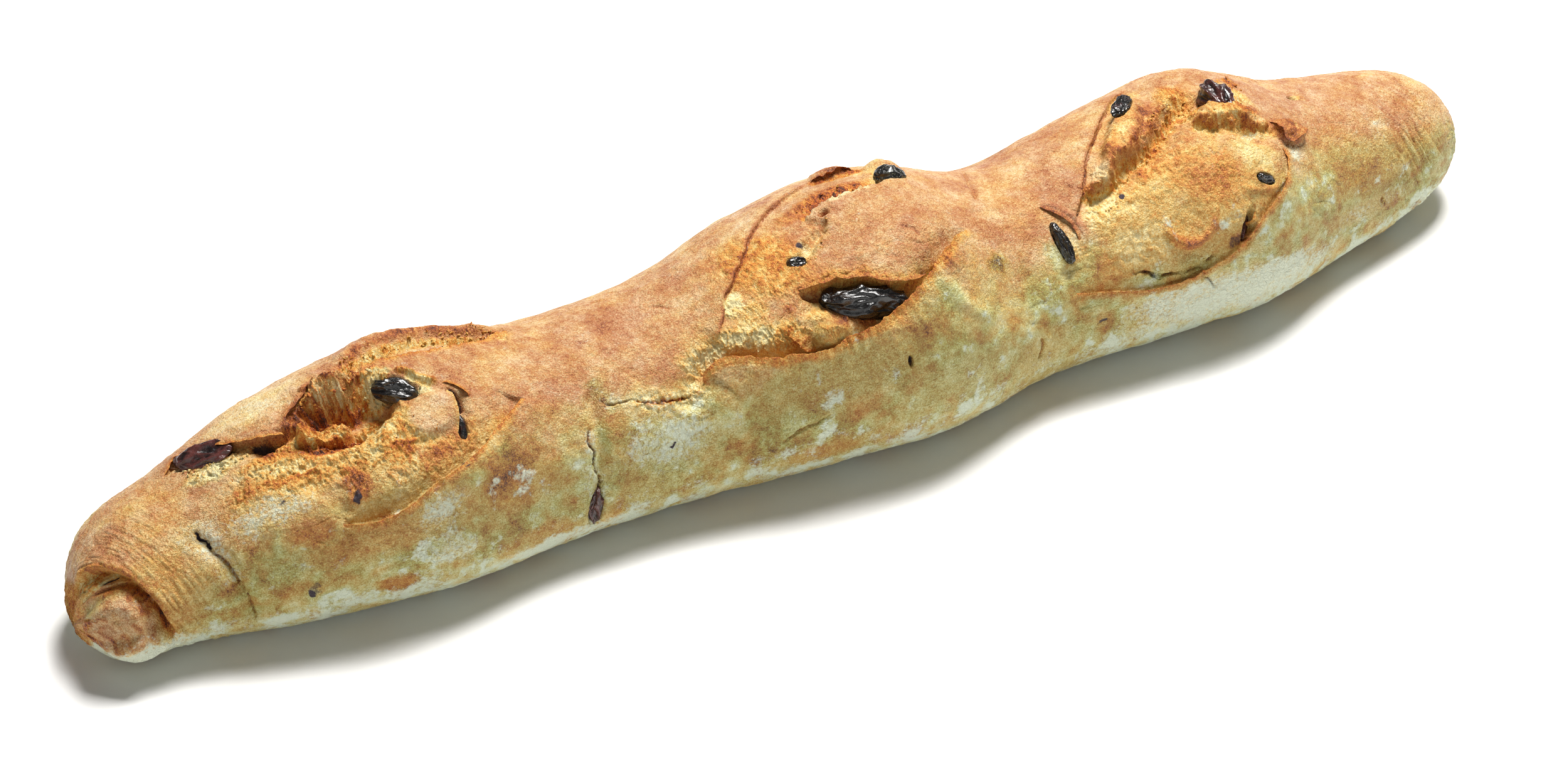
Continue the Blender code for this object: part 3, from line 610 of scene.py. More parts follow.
def shape_left_end(crust):
    """The end of the dough, folded under: a rolled lip round a stubby tail."""
    crust.lip([(-208, -14), (-205.6, 6), (-202.6, 20), (-199.6, 34), (-196.6, 46), (-194.2, 60),
               (-192, 74), (-190, 90), (-187, 106)],
              1.3, 3.2, back=5, run=3.4, hang=0.4, ends=0.2, ragged=0.15, edge=1.4,
              rim=dict(bake=0.58, rosy=0, torn=0.4), rim_width=1.2,
              wall=dict(bake=0.42, rosy=0, torn=0.8),
              wall_reach=0.7)
    crust.blob((-201.5, 78), (8, 17), 2.6, turn=-6, wall=0.5)
    crust.blob((-197, 99), (11, 8), 2.2, wall=0.5)
    crust.sag((-200, 114), (14, 26), 3.4)
    # painted shade along the crease under the rolled lip
    crust.groove([(-206, 40), (-202, 45), (-198, 50), (-194.6, 64), (-192.4, 78), (-190.4, 94),
                 (-188, 106)], 1.6, 0.8, ragged=0.1, wide=1.1, bake=0.74)


def shape_swells(crust):
    """Slow hollows and swells that a loaf rolled by hand has."""
    crust.blob((-95, 75), (28, 14), -0.9)
    crust.blob((-25, 92), (30, 12), 0.9)
    crust.blob((45, 62), (16, 12), -1)
    crust.blob((60, -40), (26, 16), -0.8)
    crust.blob((-60, -55), (40, 18), 0.8)
    crust.blob((-150, -60), (34, 16), -0.8)
    crust.blob((178, 30), (24, 20), 0.7)
    crust.blob((100, -75), (30, 14), 0.8)


def bake_whole_crust(crust):
    """The tones of the plain crust: pinkish tan on top, yellower and paler down the sides."""
    side = np.abs(crust.angle)
    swell = noise(crust.body, 19, 21)
    patch = noise(crust.body, 8, 22) + 0.7 * noise(crust.body, 3.5, 23)
    low = smoothstep((side - 37) / 32 + 0.24 * swell + 0.16 * patch)
    rim = smoothstep((side - 93) / 14 + 0.25 * swell + 0.15 * patch)
    spots = noise(crust.flat, 6.0, 24) + 0.6 * noise(crust.flat, 2.4, 25)
    crust.tone["bake"][:] = (0.49 - 0.04 * low - 0.16 * rim + 0.07 * swell + 0.10 * patch
                             + 0.22 * low * spots)
    crust.tone["rosy"][:] = (0.80 + 0.25 * swell) * (1 - low)
    # The sides take an olive-green tone: a paler, less baked crust, and partly a painted cast of the
    # light on the near side, which takes more of it than the far side
    green_and_cast_by_side = 0.74 - 0.22 * (crust.angle < 0)
    crust.tone["green"][:] = np.clip(low * (green_and_cast_by_side + 0.35 * swell + 0.30 * patch - 0.4 * spots), 0, 1)
    dusty = np.clip(0.75 * low * (-0.35 - 1.4 * spots + 0.5 * swell), 0, 0.75)
    crust.tone["flour"][:] = np.clip(rim * (0.5 + 0.5 * patch + 0.3 * swell) + dusty, 0, 1)


def tint_left(crust):
    """Tones of the left third, before the openings are torn."""
    crust.dab((-152, -22), (20, 13), bake=0.22, rosy=0.45, flour=0.25)
    crust.dab((-186, 0), (16, 26), bake=0.44, rosy=0.5)
    crust.dab((-188, 62), (16, 34), wall=0.9, bake=0.42, green=0, rosy=0.1)
    crust.dab((-160, 42), (17, 11), bake=0.3, rosy=0.1, flour=0.5)
    crust.dab((-178, 40), (8, 11), bake=0.3, flour=0.5, green=0.2)
    crust.dab((-138, 74), (28, 8), bake=0.56, green=0.25)
    crust.dab((-153, 62), (9, 5), bake=0.62, green=0)
    crust.dab((-121, 71), (11, 8), turn=-20, wall=1, bake=0.3, flour=0.75, green=0.4)
    crust.dab((-120, 84), (9, 4), flour=0.5)
    crust.dab((-162, 78), (7, 6), bake=0.55, green=1, flour=0.3)
    crust.dab((-134, 101), (8, 4), bake=0.66, green=0.1, flour=0)
    crust.dab((-98, 72), (22, 9), bake=0.56, green=0.35)
    # painted shadow under the near lip: a darker, greener patch
    crust.dab((-100, 63), (14, 6), turn=-20, wall=0.8, bake=0.8, green=0.4)
    crust.dab((-92, 100), (14, 5), bake=0.5, green=0.3, flour=0.1)
    crust.dab((-88, 109), (26, 4), bake=0.2, flour=0.95)
    crust.dab((-118, 92), (9, 4), bake=0.34, green=0.6, flour=0.6)
    crust.dab((-56, 71), (21, 14), wall=0.9, bake=0.34, green=0.8, flour=0.7, rosy=0)
    crust.dab((-131, 21), (10, 5), bake=0.5, torn=0.9)
    crust.dab((-63, 95), (12, 7), bake=0.4, green=0.7, flour=0.2)


def tint_middle(crust):
    """Tones of the middle third, before the openings are torn."""
    crust.dab((18, 12), (34, 22), turn=-14, wall=0.9, bake=0.51, rosy=0.8)
    crust.dab((-16, 10), (15, 20), turn=-30, bake=0.5, rosy=0.1, torn=0.75)
    crust.dab((-8, 70), (34, 9), bake=0.5, green=0.6)
    crust.dab((38, 50), (14, 10), bake=0.42, rosy=0.4)
    crust.dab((44, 45), (5, 3.6), bake=0.78, green=1, flour=0.25, rosy=0)
    crust.dab((27, -25), (7, 4), bake=0.26, rosy=0.3)
    crust.dab((25, 88), (22, 8), bake=0.42, green=0.8)
    crust.dab((-15, 104), (22, 5), bake=0.52, green=0.3, flour=0.1)
    crust.dab((55, 92), (14, 10), bake=0.34, green=0.5)
    crust.dab((58, 111), (26, 7), wall=0.9, bake=0.42, green=0.6, flour=0.15)


def tint_right(crust):
    """Tones of the right third, before the openings are torn."""
    crust.crumb((106, 48), (31, 21), 0.2, 0.36, turn=10, green=0)
    crust.crumb((84, 40), (11, 9), 0.4, 0.24)
    crust.dab((113, 42), (15, 9), turn=20, bake=0.54, rosy=0.25, torn=0.4)
    crust.dab((84, 50), (8, 5), turn=20, bake=0.46, rosy=0.2, torn=0.3)
    crust.crumb((90, 60), (17, 9), 0.4, 0.23, green=0)
    crust.dab((129, 40), (9, 6), turn=20, bake=0.2, rosy=0)
    crust.crumb((127, 61), (9, 4), 0.3, 0.46, turn=-30, green=0)
    crust.dab((118, 98), (48, 9), bake=0.14, flour=0.95, green=0.4)
    crust.dab((98, 90), (24, 6), bake=0.22, flour=0.7, green=0.3)
    crust.dab((143, 44), (6, 4), bake=0.25, flour=0.5)
    crust.dab((168, 42), (26, 18), wall=0.9, flour=0, bake=0.42, rosy=0.35)
    crust.dab((178, 42), (7, 5), flour=0.2)
    crust.dab((172, 66), (30, 8), bake=0.52, green=0.45, rosy=0.1)
    crust.dab((168, 84), (24, 6), bake=0.36, green=0.4, flour=0.3, rosy=0)
    crust.dab((150, 8), (13, 9), turn=-20, bake=0.52, rosy=1)
    crust.dab((74, 12), (10, 16), bake=0.55, rosy=1)
    crust.dab((176, 12), (26, 32), wall=0.9, bake=0.5, rosy=0.9, green=0)
    crust.dab((178, 37), (5, 5), flour=0.3, bake=0.3)
    crust.dab((202, 24), (9, 46), bake=0.38, rosy=0.6, flour=0.1)
    crust.dab((170, 54), (22, 10), wall=0.9, bake=0.56, green=0.5, rosy=0.4)


def tear_left_details(crust):
    """Crumb, dark gaps painted as shade, and specks of the left opening."""
    crust.crumb((-168, 4), (9, 6), 0.9, 0.08, turn=20, flour=0.35, green=0.75)
    crust.crumb((-150, 18), (16, 5), 0.9, 0.42, turn=4, wall=0.5, green=0)
    crust.crumb((-148, 32), (26, 10), 0.75, 0.32, turn=8, wall=0.7, ragged=2.4, flour=0, green=0)
    crust.crumb((-126, 32), (17, 12), 0.8, 0.34, turn=-14, wall=0.6, ragged=2, flour=0)
    crust.dab((-114, 47), (16, 6), turn=-28, wall=0.6, torn=0.45, bake=0.52, rosy=0.2, flour=0)
    crust.dab((-157, 24), (14, 4), turn=14, torn=0.9, bake=0.24)
    crust.dab((-165, 30), (6, 3), turn=24, torn=0.6, bake=0.58)
    crust.dab((-153, 33), (10, 3), turn=14, torn=0.8, bake=0.56)
    crust.stroke([(-158, 13), (-154, 17), (-149, 22), (-144, 27)], 1.8, bake=0.64, torn=0.8)
    crust.dab((-139, 48), (6, 7), bake=0.7, torn=0.7)
    crust.dab((-124, 40), (6, 4), bake=0.62, torn=0.8)
    crust.dab((-128, 50), (7, 6), bake=0.36, torn=0.6, green=0.1)
    crust.dab((-118, 48), (7, 4), turn=-20, bake=0.66, rosy=0.2)
    crust.crumb((-134, 61), (14, 4.4), 0.05, 0.3, turn=-4, green=0.3)
    crust.dab((-114.5, 28), (8, 7), turn=-20, wall=0.3, ragged=0.6, torn=0, bake=0.4, rosy=0.75)
    crust.dab((-100, 42), (9, 4), turn=-40, torn=0.35, bake=0.38, rosy=0.1)
    crust.dab((-104, 50), (9, 3), turn=-30, torn=0.2, bake=0.3, rosy=0.2, green=0)
    crust.crumb((-133, 4), (13, 5), 1.1, 0.72, turn=-12)
    crust.dab((-140, 2), (5, 3), turn=-12, torn=1.1, bake=0.76, rosy=0.2)
    crust.dab((-134, -6), (11, 5), turn=-12, wall=0.4, torn=1.6, bake=0.45, rosy=0.9)
    crust.crumb((-124, 2), (5.5, 6), 1.3, 0.12)
    crust.crumb((-128, 17), (6, 5), 1.2, 0.36)
    crust.dab((-142, 8), (6, 1.4), turn=-10, torn=1, bake=0.82)
    crust.crumb((-140.5, 15), (7.4, 4.6), 1.3, 0.54, turn=4, wall=0.4)
    crust.crumb((-139, 23), (8, 3.2), 1.1, 0.74, turn=-4)
    # painted shade along the furrow under the crumb tongue
    crust.stroke([(-148, 14), (-146, 24), (-141, 28), (-135, 25), (-131, 18)], 1, bake=0.84)
    # painted shade in the dark gap under the lip beside olive_01, with a little olive stain
    crust.groove([(-159, 4), (-155, 7), (-150, 11)], 1.2, 1.3, char=0.7, stain=0.4, torn=1)
    # painted shade in the dark gap behind the plate flap, above olive_03
    crust.groove([(-108, 17), (-106.5, 24), (-107, 31)], 1.6, 0.7, char=0.6, bake=0.8)
    crust.dab((-121, -1), (4, 2.2), torn=0.6, bake=0.15, green=0.6)
    crust.dab((-114, 15), (3.4, 2.2), torn=0.6, bake=0.15, green=0.5)
    crust.dab((-140, 54), (1.1, 2), turn=20, ragged=1, stain=0.9, char=0.3)
    crust.dab((-112, 56), (1.4, 0.9), ragged=0.8, stain=1)
    crust.dab((-158, 43), (2, 1), stain=0.55)
    crust.dab((-155, 92), (1.6, 3), turn=-20, stain=0.4)
    crust.dab((-155.4, 94), (0.7, 1.8), turn=-20, ragged=0.6, stain=1, char=0.8)


def tear_middle_details(crust):
    """Crumb, hollows and specks of the middle opening."""
    crust.stroke([(-64, 47), (-56, 51), (-49, 54), (-43, 50)], 3.2, torn=0.9, bake=0.1, flour=0.2,
                 rosy=0)
    crust.stroke([(-47, 44), (-42, 39), (-36, 36), (-29, 37), (-23, 43), (-19, 51)], 3.4,
                 ragged=0.8, torn=1, bake=0.1, rosy=0, green=0.1)
    crust.crumb((-28, 21), (3.4, 5), 0.8, 0, turn=20, wall=0.3, ragged=0.6)
    crust.crumb((21.5, 45), (6, 1.8), 1, 0.05, turn=-30, flour=0.2)
    crust.dab((-25, 30), (6, 5), torn=0.5, bake=0.36, rosy=0.1)
    crust.crumb((-20, 45), (8, 5), 0.9, 0.38)
    crust.crumb((-17, 48), (4, 4), 0.9, 0.52)
    crust.dab((-16, 36), (2.6, 2.4), bake=0.72, rosy=0.7, torn=0.5)
    crust.blob((-9, 34), (4.4, 1.6), -1.6, turn=16, wall=0.6, bake=0.62, rosy=0.7)
    crust.crumb((-10, 42), (5, 3.4), 0.5, 0.4)
    crust.crumb((-8, 52), (6, 3.2), 0.6, 0.44, turn=10)
    crust.dab((0, 49), (9, 3), turn=14, torn=0.4, bake=0.75)
    crust.crumb((11, -12), (13, 4.4), 1, 0.8)
    crust.stroke([(8, -5), (14, -5), (21, -5)], 0.9, torn=1, bake=0.05)
    crust.dab((-2, -9), (6, 3), turn=-30, torn=0.5, bake=0.66, rosy=0.6)
    crust.blob((5.2, 0.5), (1.9, 1.3), -2.2, wall=0.6, bake=0.75, torn=0.5)
    crust.dab((-5, 9), (1.5, 1.3), ragged=0.8, stain=0.8, flour=0.2)
    crust.dab((-4, 14), (5, 4), turn=-40, torn=0.5, bake=0.3, green=0.2)
    crust.groove([(-46, -5), (-43, 0), (-41, 5)], 0.4, 0.4, ragged=0.6, bake=0.62)
    crust.groove([(-68, 3), (-66, 7)], 0.4, 0.4, ragged=0.6, bake=0.7)
    # painted shade along the crack
    crust.groove([(-27, 90), (-22, 89), (-18, 86), (-12, 85)], 0.7, 0.32, ragged=0.9, wide=1.1,
                 char=0.3, bake=0.7)
    crust.blob((10, 73), (0.9, 1.9), -1.6, wall=0.7, char=0.7, bake=0.8)
    # painted shade along the crack
    crust.groove([(54, 84), (54.5, 90), (53, 97)], 0.9, 0.4, wide=1.1, bake=0.7, char=0.2)
    crust.blob((56, 87), (2.6, 4), 0.9)
    crust.dab((-55, 74), (1.4, 0.9), stain=0.8)
    crust.groove([(58, -32), (54, -12), (52, 0), (50, 9)], 0.6, 0.5, bake=0.6, rosy=0.8)
    crust.groove([(23, 44), (26, 52), (30, 60), (38, 66)], -0.8, 1.8, bake=0.3)
    crust.groove([(20, 20), (23, 24), (24, 28)], 0.4, 0.4, bake=0.66)
    crust.groove([(3, 26), (8, 28), (14, 27)], -0.4, 0.8)


def tear_right_details(crust):
    """Crumb, hollows and specks of the right opening."""
    crust.dab((98, 3), (18, 6), turn=-46, torn=0.4, bake=0.42, rosy=0.4)
    crust.dab((86, 19), (5, 4), turn=-50, torn=0.2, bake=0.24, rosy=0.7, flour=0.2)
    crust.dab((92, 14), (3.5, 2.5), turn=-40, torn=0.5, bake=0.66, rosy=0.4)
    crust.dab((98, 4), (4, 3), turn=-40, bake=0.26, rosy=0.4)
    crust.dab((103, 5), (5, 2.4), turn=-50, torn=0.3, bake=0.72, rosy=0.6)
    crust.dab((110, -4), (5, 3), turn=-50, torn=0.3, bake=0.76, rosy=0.6)
    crust.crumb((107, -20), (7, 5), 0.4, 0.3, turn=-30, green=0.35)
    crust.dab((118, -6), (7, 7), torn=0.9, bake=0.5, rosy=0.1)
    crust.crumb((121, 7), (6, 3), 1, 0.42, turn=-20)
    crust.crumb((136, 6), (5, 5), 0.8, 0.18, green=0.2)
    crust.dab((137, -8), (4, 4), torn=0.7, bake=0.66, rosy=0.1)
    crust.dab((127, 17), (11, 5), turn=8, torn=0.8, bake=0.36, rosy=0.3, green=0)
    crust.dab((133, 18), (5, 3), turn=8, torn=0.9, bake=0.74, rosy=0.3)
    crust.crumb((130, 30), (5.5, 2.6), 0.2, 0.2, turn=20, flour=0.6)
    crust.dab((144, 31), (6.5, 4.8), turn=20, wall=0.4, torn=0.5, bake=0.64, rosy=0.7)
    # painted shade in the crease beside the brown flap
    crust.groove([(142, 24), (147, 25), (150, 27)], 0.9, 0.35, wide=1.1, char=0.5)
    crust.dab((82, 34), (9, 5), turn=-30, torn=0.7, bake=0.2)
    crust.dab((103, 27), (16, 4), turn=-12, torn=0.6, bake=0.5)
    crust.dab((88, 34), (0.9, 1.3), ragged=0.4, stain=1, char=0.5)
    for step in range(3):
        lift = 5.5 * step
        crust.groove([(92 - step, 52 + lift / 3), (96, 44 - lift), (106, 39 - lift),
                     (117, 44 - lift), (124, 48 - lift / 3)], -0.25, 0.8, ragged=2)
    # painted shade along the two cracks on the near side of the right opening
    crust.groove([(83, 68), (89, 74), (94, 76.5), (101, 78), (106, 77.5), (110, 75)], 1.3, 0.4,
                 ragged=1.1, wide=1.1, char=0.5, bake=0.7)
    crust.groove([(104, 81), (106, 85), (109, 92)], 0.9, 0.32, ragged=0.8, wide=1.1, bake=0.75,
                 char=0.2)
    # painted shade at the end of the hollow round olive_11
    crust.dab((115, 72), (3.4, 1.6), turn=-10, char=0.5, bake=0.7)
    crust.blob((157, 2), (1.9, 1.3), -1.4, wall=0.6, char=0.6, bake=0.5)
    crust.crumb((159, 1), (2.6, 2), 0.5, 0.2)
    crust.stroke([(160, 4), (163, -2), (163, -12)], 1.2, bake=0.66, rosy=1)
    # painted shade along the crack
    crust.groove([(173, 80), (174, 86), (175, 90)], 0.8, 0.35, wide=1.1, bake=0.75)
    crust.blob((174, 87), (2.2, 2.2), 0.8)
    crust.dab((74, 89), (1.8, 1.2), stain=0.6)
    crust.dab((63.5, 50), (3.4, 7), bake=0.26, green=0.8, flour=0.3)
    crust.dab((71, 47), (2.4, 6), bake=0.3, torn=0.5, green=0.1)
    crust.blob((66, 59), (4, 3), -1, wall=0.8, bake=0.3, green=0.5)


def open_cracks(crust):
    """Narrow cracks: dark inside with painted shade, dusted beside."""
    crust.stroke([(-181, 32), (-177, 48), (-174, 61), (-172, 76)], 3.4, flour=0.45, bake=0.3)
    # painted shade inside the crack, with some olive stain
    crust.groove([(-178.5, 35), (-177.8, 40), (-176.8, 45), (-176.2, 51)], 1.8, 0.42, ragged=0.9,
                 wide=1, char=1, stain=0.8, flour=0)
    crust.groove([(-177, 48), (-174, 61), (-172, 76), (-170, 92), (-169, 108)], 0.9, 0.32,
                 ragged=0.4, wide=1.1, char=0.3, bake=0.7)
    crust.stroke([(-76, 52), (-77, 66), (-77, 80), (-77, 92)], 3.6, flour=0.45, bake=0.3)
    # painted shade inside the crack
    crust.groove([(-75.5, 52), (-77, 60), (-76.4, 66), (-77.4, 74), (-75.6, 82), (-77, 92)], 1.2,
                 0.35, ragged=0.6, wide=1.1, char=0.4, bake=0.75)
    crust.stroke([(-71, 30), (-69, 40), (-68, 50)], 2.4, flour=0.3, green=0.6)
    crust.stroke([(-70, 42), (-64, 47), (-57, 50), (-50, 54)], 2.2, flour=0.35, bake=0.26)
    crust.groove([(-72, 42), (-67, 46), (-61, 48), (-55, 52), (-50, 54), (-46, 53)], 0.8, 0.4,
                 ragged=1.2, wide=1.1, char=0.12, bake=0.6)
    for x, top, end, depth in ((190.5, 16, 80, 0.5), (188, 40, 74, 0.3), (183.5, 26, 66, 0.3)):
        crust.groove([(x, top), (x + 0.8, 0.6 * top + 0.4 * end), (x + 1.8, 0.3 * top + 0.7 * end),
                     (x + 3.6, end)], depth, 0.4, ends=0.4, ragged=0.3, wide=1.1, bake=0.6)


def wrinkle_ends(crust):
    """Stretch marks that ring the two ends of the loaf."""
    slanted = crust.x - 0.155 * crust.angle
    flow = np.stack([slanted * 0.85, crust.around_mm * 0.06, 0 * crust.x], -1)
    marks = 1 - 2 * ridges(flow, 1.0, 31) + 0.6 * noise(flow * 2.3, 1.0, 32)
    left = smoothstep((-182 - slanted) / 16) * smoothstep((slanted + 208) / 3)
    right = 0.9 * smoothstep((crust.x - 172) / 10) * smoothstep((202 - crust.x) / 6)
    strength = (left + right) * smoothstep((crust.angle + 20) / 30)
    crust.out += 0.18 * marks * strength
    crust.tone["bake"] -= 0.06 * marks * strength
    tail = crust.oval((-200, 84), (9, 23), 0.0, 0.4)
    folds = noise(crust.flat @ np.array([[0.9, 0.3, 0.0], [-0.4, 0.3, 0.0], [0.0, 0.0, 1.0]]), 1.6, 33)
    crust.out += 0.35 * tail * folds
    crust.paint(slice(None), tail, dict(bake=0.4, rosy=0.7, green=0, flour=0.15))
    crust.paint(slice(None), tail * smoothstep(1.8 * folds), dict(bake=0.7, rosy=0.5))
    crust.dab((-197, 106), (15, 9), bake=0.1, flour=0.95, green=0.3, rosy=0.2)
    crust.crumb((-205.4, 24), (4.4, 15), 1, 0.34, green=0)
    crust.crumb((-202, 36), (3, 4), 0.6, 0.14, turn=60, green=0.1)
    crust.stroke([(-206.4, 62), (-207.2, 74), (-207.4, 86), (-206.4, 104)], 1.3, bake=0.74, rosy=0,
                 torn=1)
    crust.stroke([(-204, 46), (-198.4, 51), (-194.8, 66), (-192.2, 82)], 1.6, bake=0.66, rosy=0,
                 torn=0.7)
    tip = smoothstep((-206.6 - crust.x) / 1.2)
    crust.paint(slice(None), tip, dict(bake=0.5, rosy=0, green=0, flour=0, torn=0.5))
    # painted shadow line between the tail and the rolled lip
    crust.groove([(-203.4, 37), (-201.4, 38.5), (-199.6, 39)], 0.8, 0.4, char=0.7)
    crust.stroke([(-205.4, 6), (-202.4, 20), (-199.4, 34), (-196.4, 46), (-194, 60), (-191.8, 76)],
                 0.9, bake=0.6, rosy=0, green=0, torn=0.3)


def roughen(crust):
    """Pebbled skin on the crust, and crags, fibres and bubbles where it is torn open."""
    skin = 0.34 * noise(crust.body, 15, 41) + 0.20 * noise(crust.body, 6.5, 42)
    fine = 0.09 * noise(crust.body, 3.0, 43)
    torn = np.clip(crust.tone["torn"], 0, 2)
    if crust.detail:
        fine = fine + 0.09 * noise(crust.body, 1.6, 44) + 0.07 * noise(crust.body, 0.8, 45)
        warp = crust.flat + 0.9 * np.stack([crust.wander_x, crust.wander_v, 0 * crust.x], -1)
        blistered = smoothstep(0.3 + 0.9 * noise(crust.body, 12, 46))
        fine = fine + blistered * (0.16 * bubbles(crust.flat[:, :2], 5.5, 3)
                                   + 0.17 * bubbles(warp[:, :2], 2.3, 9))
        puckered = smoothstep(noise(crust.body, 14, 47) * 2.5 - 0.2)
        creases = np.maximum(ridges(warp * np.array([0.5, 1.0, 1.0]), 6.0, 61) - 0.84, 0) / 0.16
        fine = fine - 0.24 * puckered * creases
        crags = 0.9 * (ridges(warp, 4.2, 51) - 0.55) + 0.6 * noise(crust.flat, 2.6, 54)
        strands = ridges(warp * np.array([1.0, 0.30, 1.0]), 1.5, 52) - 0.5
        fibre = ridges(warp * np.array([1.0, 0.36, 1.0]), 0.75, 53) - 0.5
        threads = ridges(warp * np.array([1.0, 0.45, 1.0]), 0.42, 55) - 0.5
        pits = bubbles(warp[:, :2], 2.8, 5) + 0.6 * bubbles(warp[:, :2], 1.3, 6)
        crumb = 0.60 * crags + 0.52 * strands + 0.40 * fibre + 0.18 * threads - 0.42 * pits + 0.15
        crust.tone["bake"] += torn * (0.20 * crags + 0.20 * strands + 0.16 * fibre + 0.10 * threads
                                      - 0.10 * pits)
        fine = fine * (1 - 0.5 * np.minimum(torn, 1)) + crumb * torn
    crust.out += skin + fine


def bed_olives(crust):
    """Press a bed into the crust for each olive, with a small rolled edge round it."""
    for _, x, angle, _, length, width, _, turn, *_ in OLIVES:
        half = np.array([length, width]) / 2
        cover = crust.oval((x, angle), 1.04 * half + BED_MARGIN, turn, 0.35)
        edge = crust.oval((x, angle), half + BED_EDGE_WIDTH, turn, 0.8)
        crust.out += BED_EDGE_HEIGHT * edge * (1 - cover) - BED_DEPTH * cover


def shape_crust(crust):
    """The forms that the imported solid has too."""
    shape_swells(crust)
    shape_left_end(crust)
    shape_splits(crust)
    shape_left_score(crust)
    shape_middle_score(crust)
    shape_right_score(crust)


def dress_crust(crust):
    """Everything that makes the crust: forms, tones, cracks and roughness."""
    bake_whole_crust(crust)
    tint_left(crust)
    tint_middle(crust)
    tint_right(crust)
    shape_crust(crust)
    tear_left_details(crust)
    tear_middle_details(crust)
    tear_right_details(crust)
    open_cracks(crust)
    wrinkle_ends(crust)
    bed_olives(crust)
    roughen(crust)


def on_origin(points):
    """Move points so that the loaf's box stands centred on the origin, and turn them to metres."""
    shifted = np.array(points, float)
    shifted[..., 0] -= LOAF_CENTRE[0]
    shifted[..., 1] -= LOAF_CENTRE[1]
    return shifted * MM


def start_places(mesh):
    """The vertices' places in a new mesh."""
    places = np.empty(len(mesh.vertices) * 3)
    mesh.vertices.foreach_get("co", places)
    return places.reshape(-1, 3)


def settle(mesh, points, tones):
    """Move a mesh's vertices and keep the tones with them."""
    mesh.vertices.foreach_set("co", np.asarray(points, np.float32).ravel())
    for name, values in tones.items():
        kept = mesh.attributes.new(name, "FLOAT", "POINT")
        kept.data.foreach_set("value", np.asarray(values, np.float32))
    mesh.update()


def as_object(name, mesh, look):
    """Close a bmesh into a smooth-shaded object at the origin."""
    bmesh.ops.recalc_face_normals(mesh, faces=mesh.faces)
    data = bpy.data.meshes.new(name)
    mesh.to_mesh(data)
    mesh.free()
    data.materials.append(look)
    data.shade_smooth()
    made = bpy.data.objects.new(name, data)
    bpy.context.scene.collection.objects.link(made)
    return made


def carry(piece, node):
    """Fix a piece to the loaf and hide the solid it stands for."""
    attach(piece, "root")
    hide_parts(node)


def start_tube(name, round_steps, rings, look):
    """A closed tube, with each vertex's share of the way along it and its angle round it."""
    mesh = bmesh.new()
    bmesh.ops.create_cone(mesh, cap_ends=True, cap_tris=True, segments=round_steps, radius1=1.0,
                          radius2=1.0, depth=2.0)
    upright = [edge for edge in mesh.edges
               if abs(edge.verts[0].co.z - edge.verts[1].co.z) > 1.0]
    bmesh.ops.subdivide_edges(mesh, edges=upright, cuts=rings - 2, use_grid_fill=True)
    tube = as_object(name, mesh, look)
    places = start_places(tube.data)
    share = (1 + (rings - 1) * (places[:, 2] + 1) / 2) / (rings + 1)
    hub = np.hypot(places[:, 0], places[:, 1]) < 0.5
    share = np.where(hub, (places[:, 2] > 0) * 1.0, share)
    return tube, share, np.degrees(np.arctan2(places[:, 1], places[:, 0]))


def turn_outwards(data, merge=False):
    """Make a closed mesh's faces point outwards once its vertices are in place."""
    mesh = bmesh.new()
    mesh.from_mesh(data)
    if merge:
        bmesh.ops.remove_doubles(mesh, verts=mesh.verts, dist=0.001 * MM)
    bmesh.ops.recalc_face_normals(mesh, faces=mesh.faces)
    mesh.to_mesh(data)
    mesh.free()


def under_tiles(x, angle, tiles):
    """How deep inside the given tiles a place lies, from 0 to 1."""
    deepest = np.zeros_like(x)
    for _, start, end, first, last in tiles:
        inside = np.minimum(x - start, end - x)
        beside = np.minimum(angle - first, last - angle) * ROUND_PER_DEGREE
        depth = smoothstep((np.minimum(inside, beside) - TILE_TUCK) / TUCK_FADE)
        deepest = np.maximum(deepest, depth)
    return deepest


def under_ends(x):
    """How deep inside the two fine end caps a place of the coarse loaf lies, from 0 to 1."""
    inside = np.maximum(LEFT_TIP + END_LENGTH - x, x - RIGHT_TIP + END_LENGTH)
    return smoothstep((inside - TILE_TUCK) / TUCK_FADE)


def tucked(border):
    """How far a fine piece of crust dips at a place, from its distance to the piece's border."""
    return TUCK_DEPTH * np.clip(1 - border / TILE_TUCK, 0, 1) ** 4


def make_loaf_crust(look):
    """The whole loaf as one coarse skin, sunk where finer tiles cover it."""
    loaf, way, angle = start_tube("loaf_crust", LOAF_ROUND, LOAF_RINGS, look)
    share = 0.6 * way + 0.4 * (1 - np.cos(math.pi * way)) / 2
    crust = Crust(LEFT_TIP + (RIGHT_TIP - LEFT_TIP) * share, angle, detail=0)
    dress_crust(crust)
    covered = np.maximum(under_tiles(crust.x, crust.angle, TILES), under_ends(crust.x))
    crust.out -= BASE_SINK * covered
    settle(loaf.data, on_origin(crust.points()), crust.tone)
    turn_outwards(loaf.data)
    carry(loaf, "loaf")


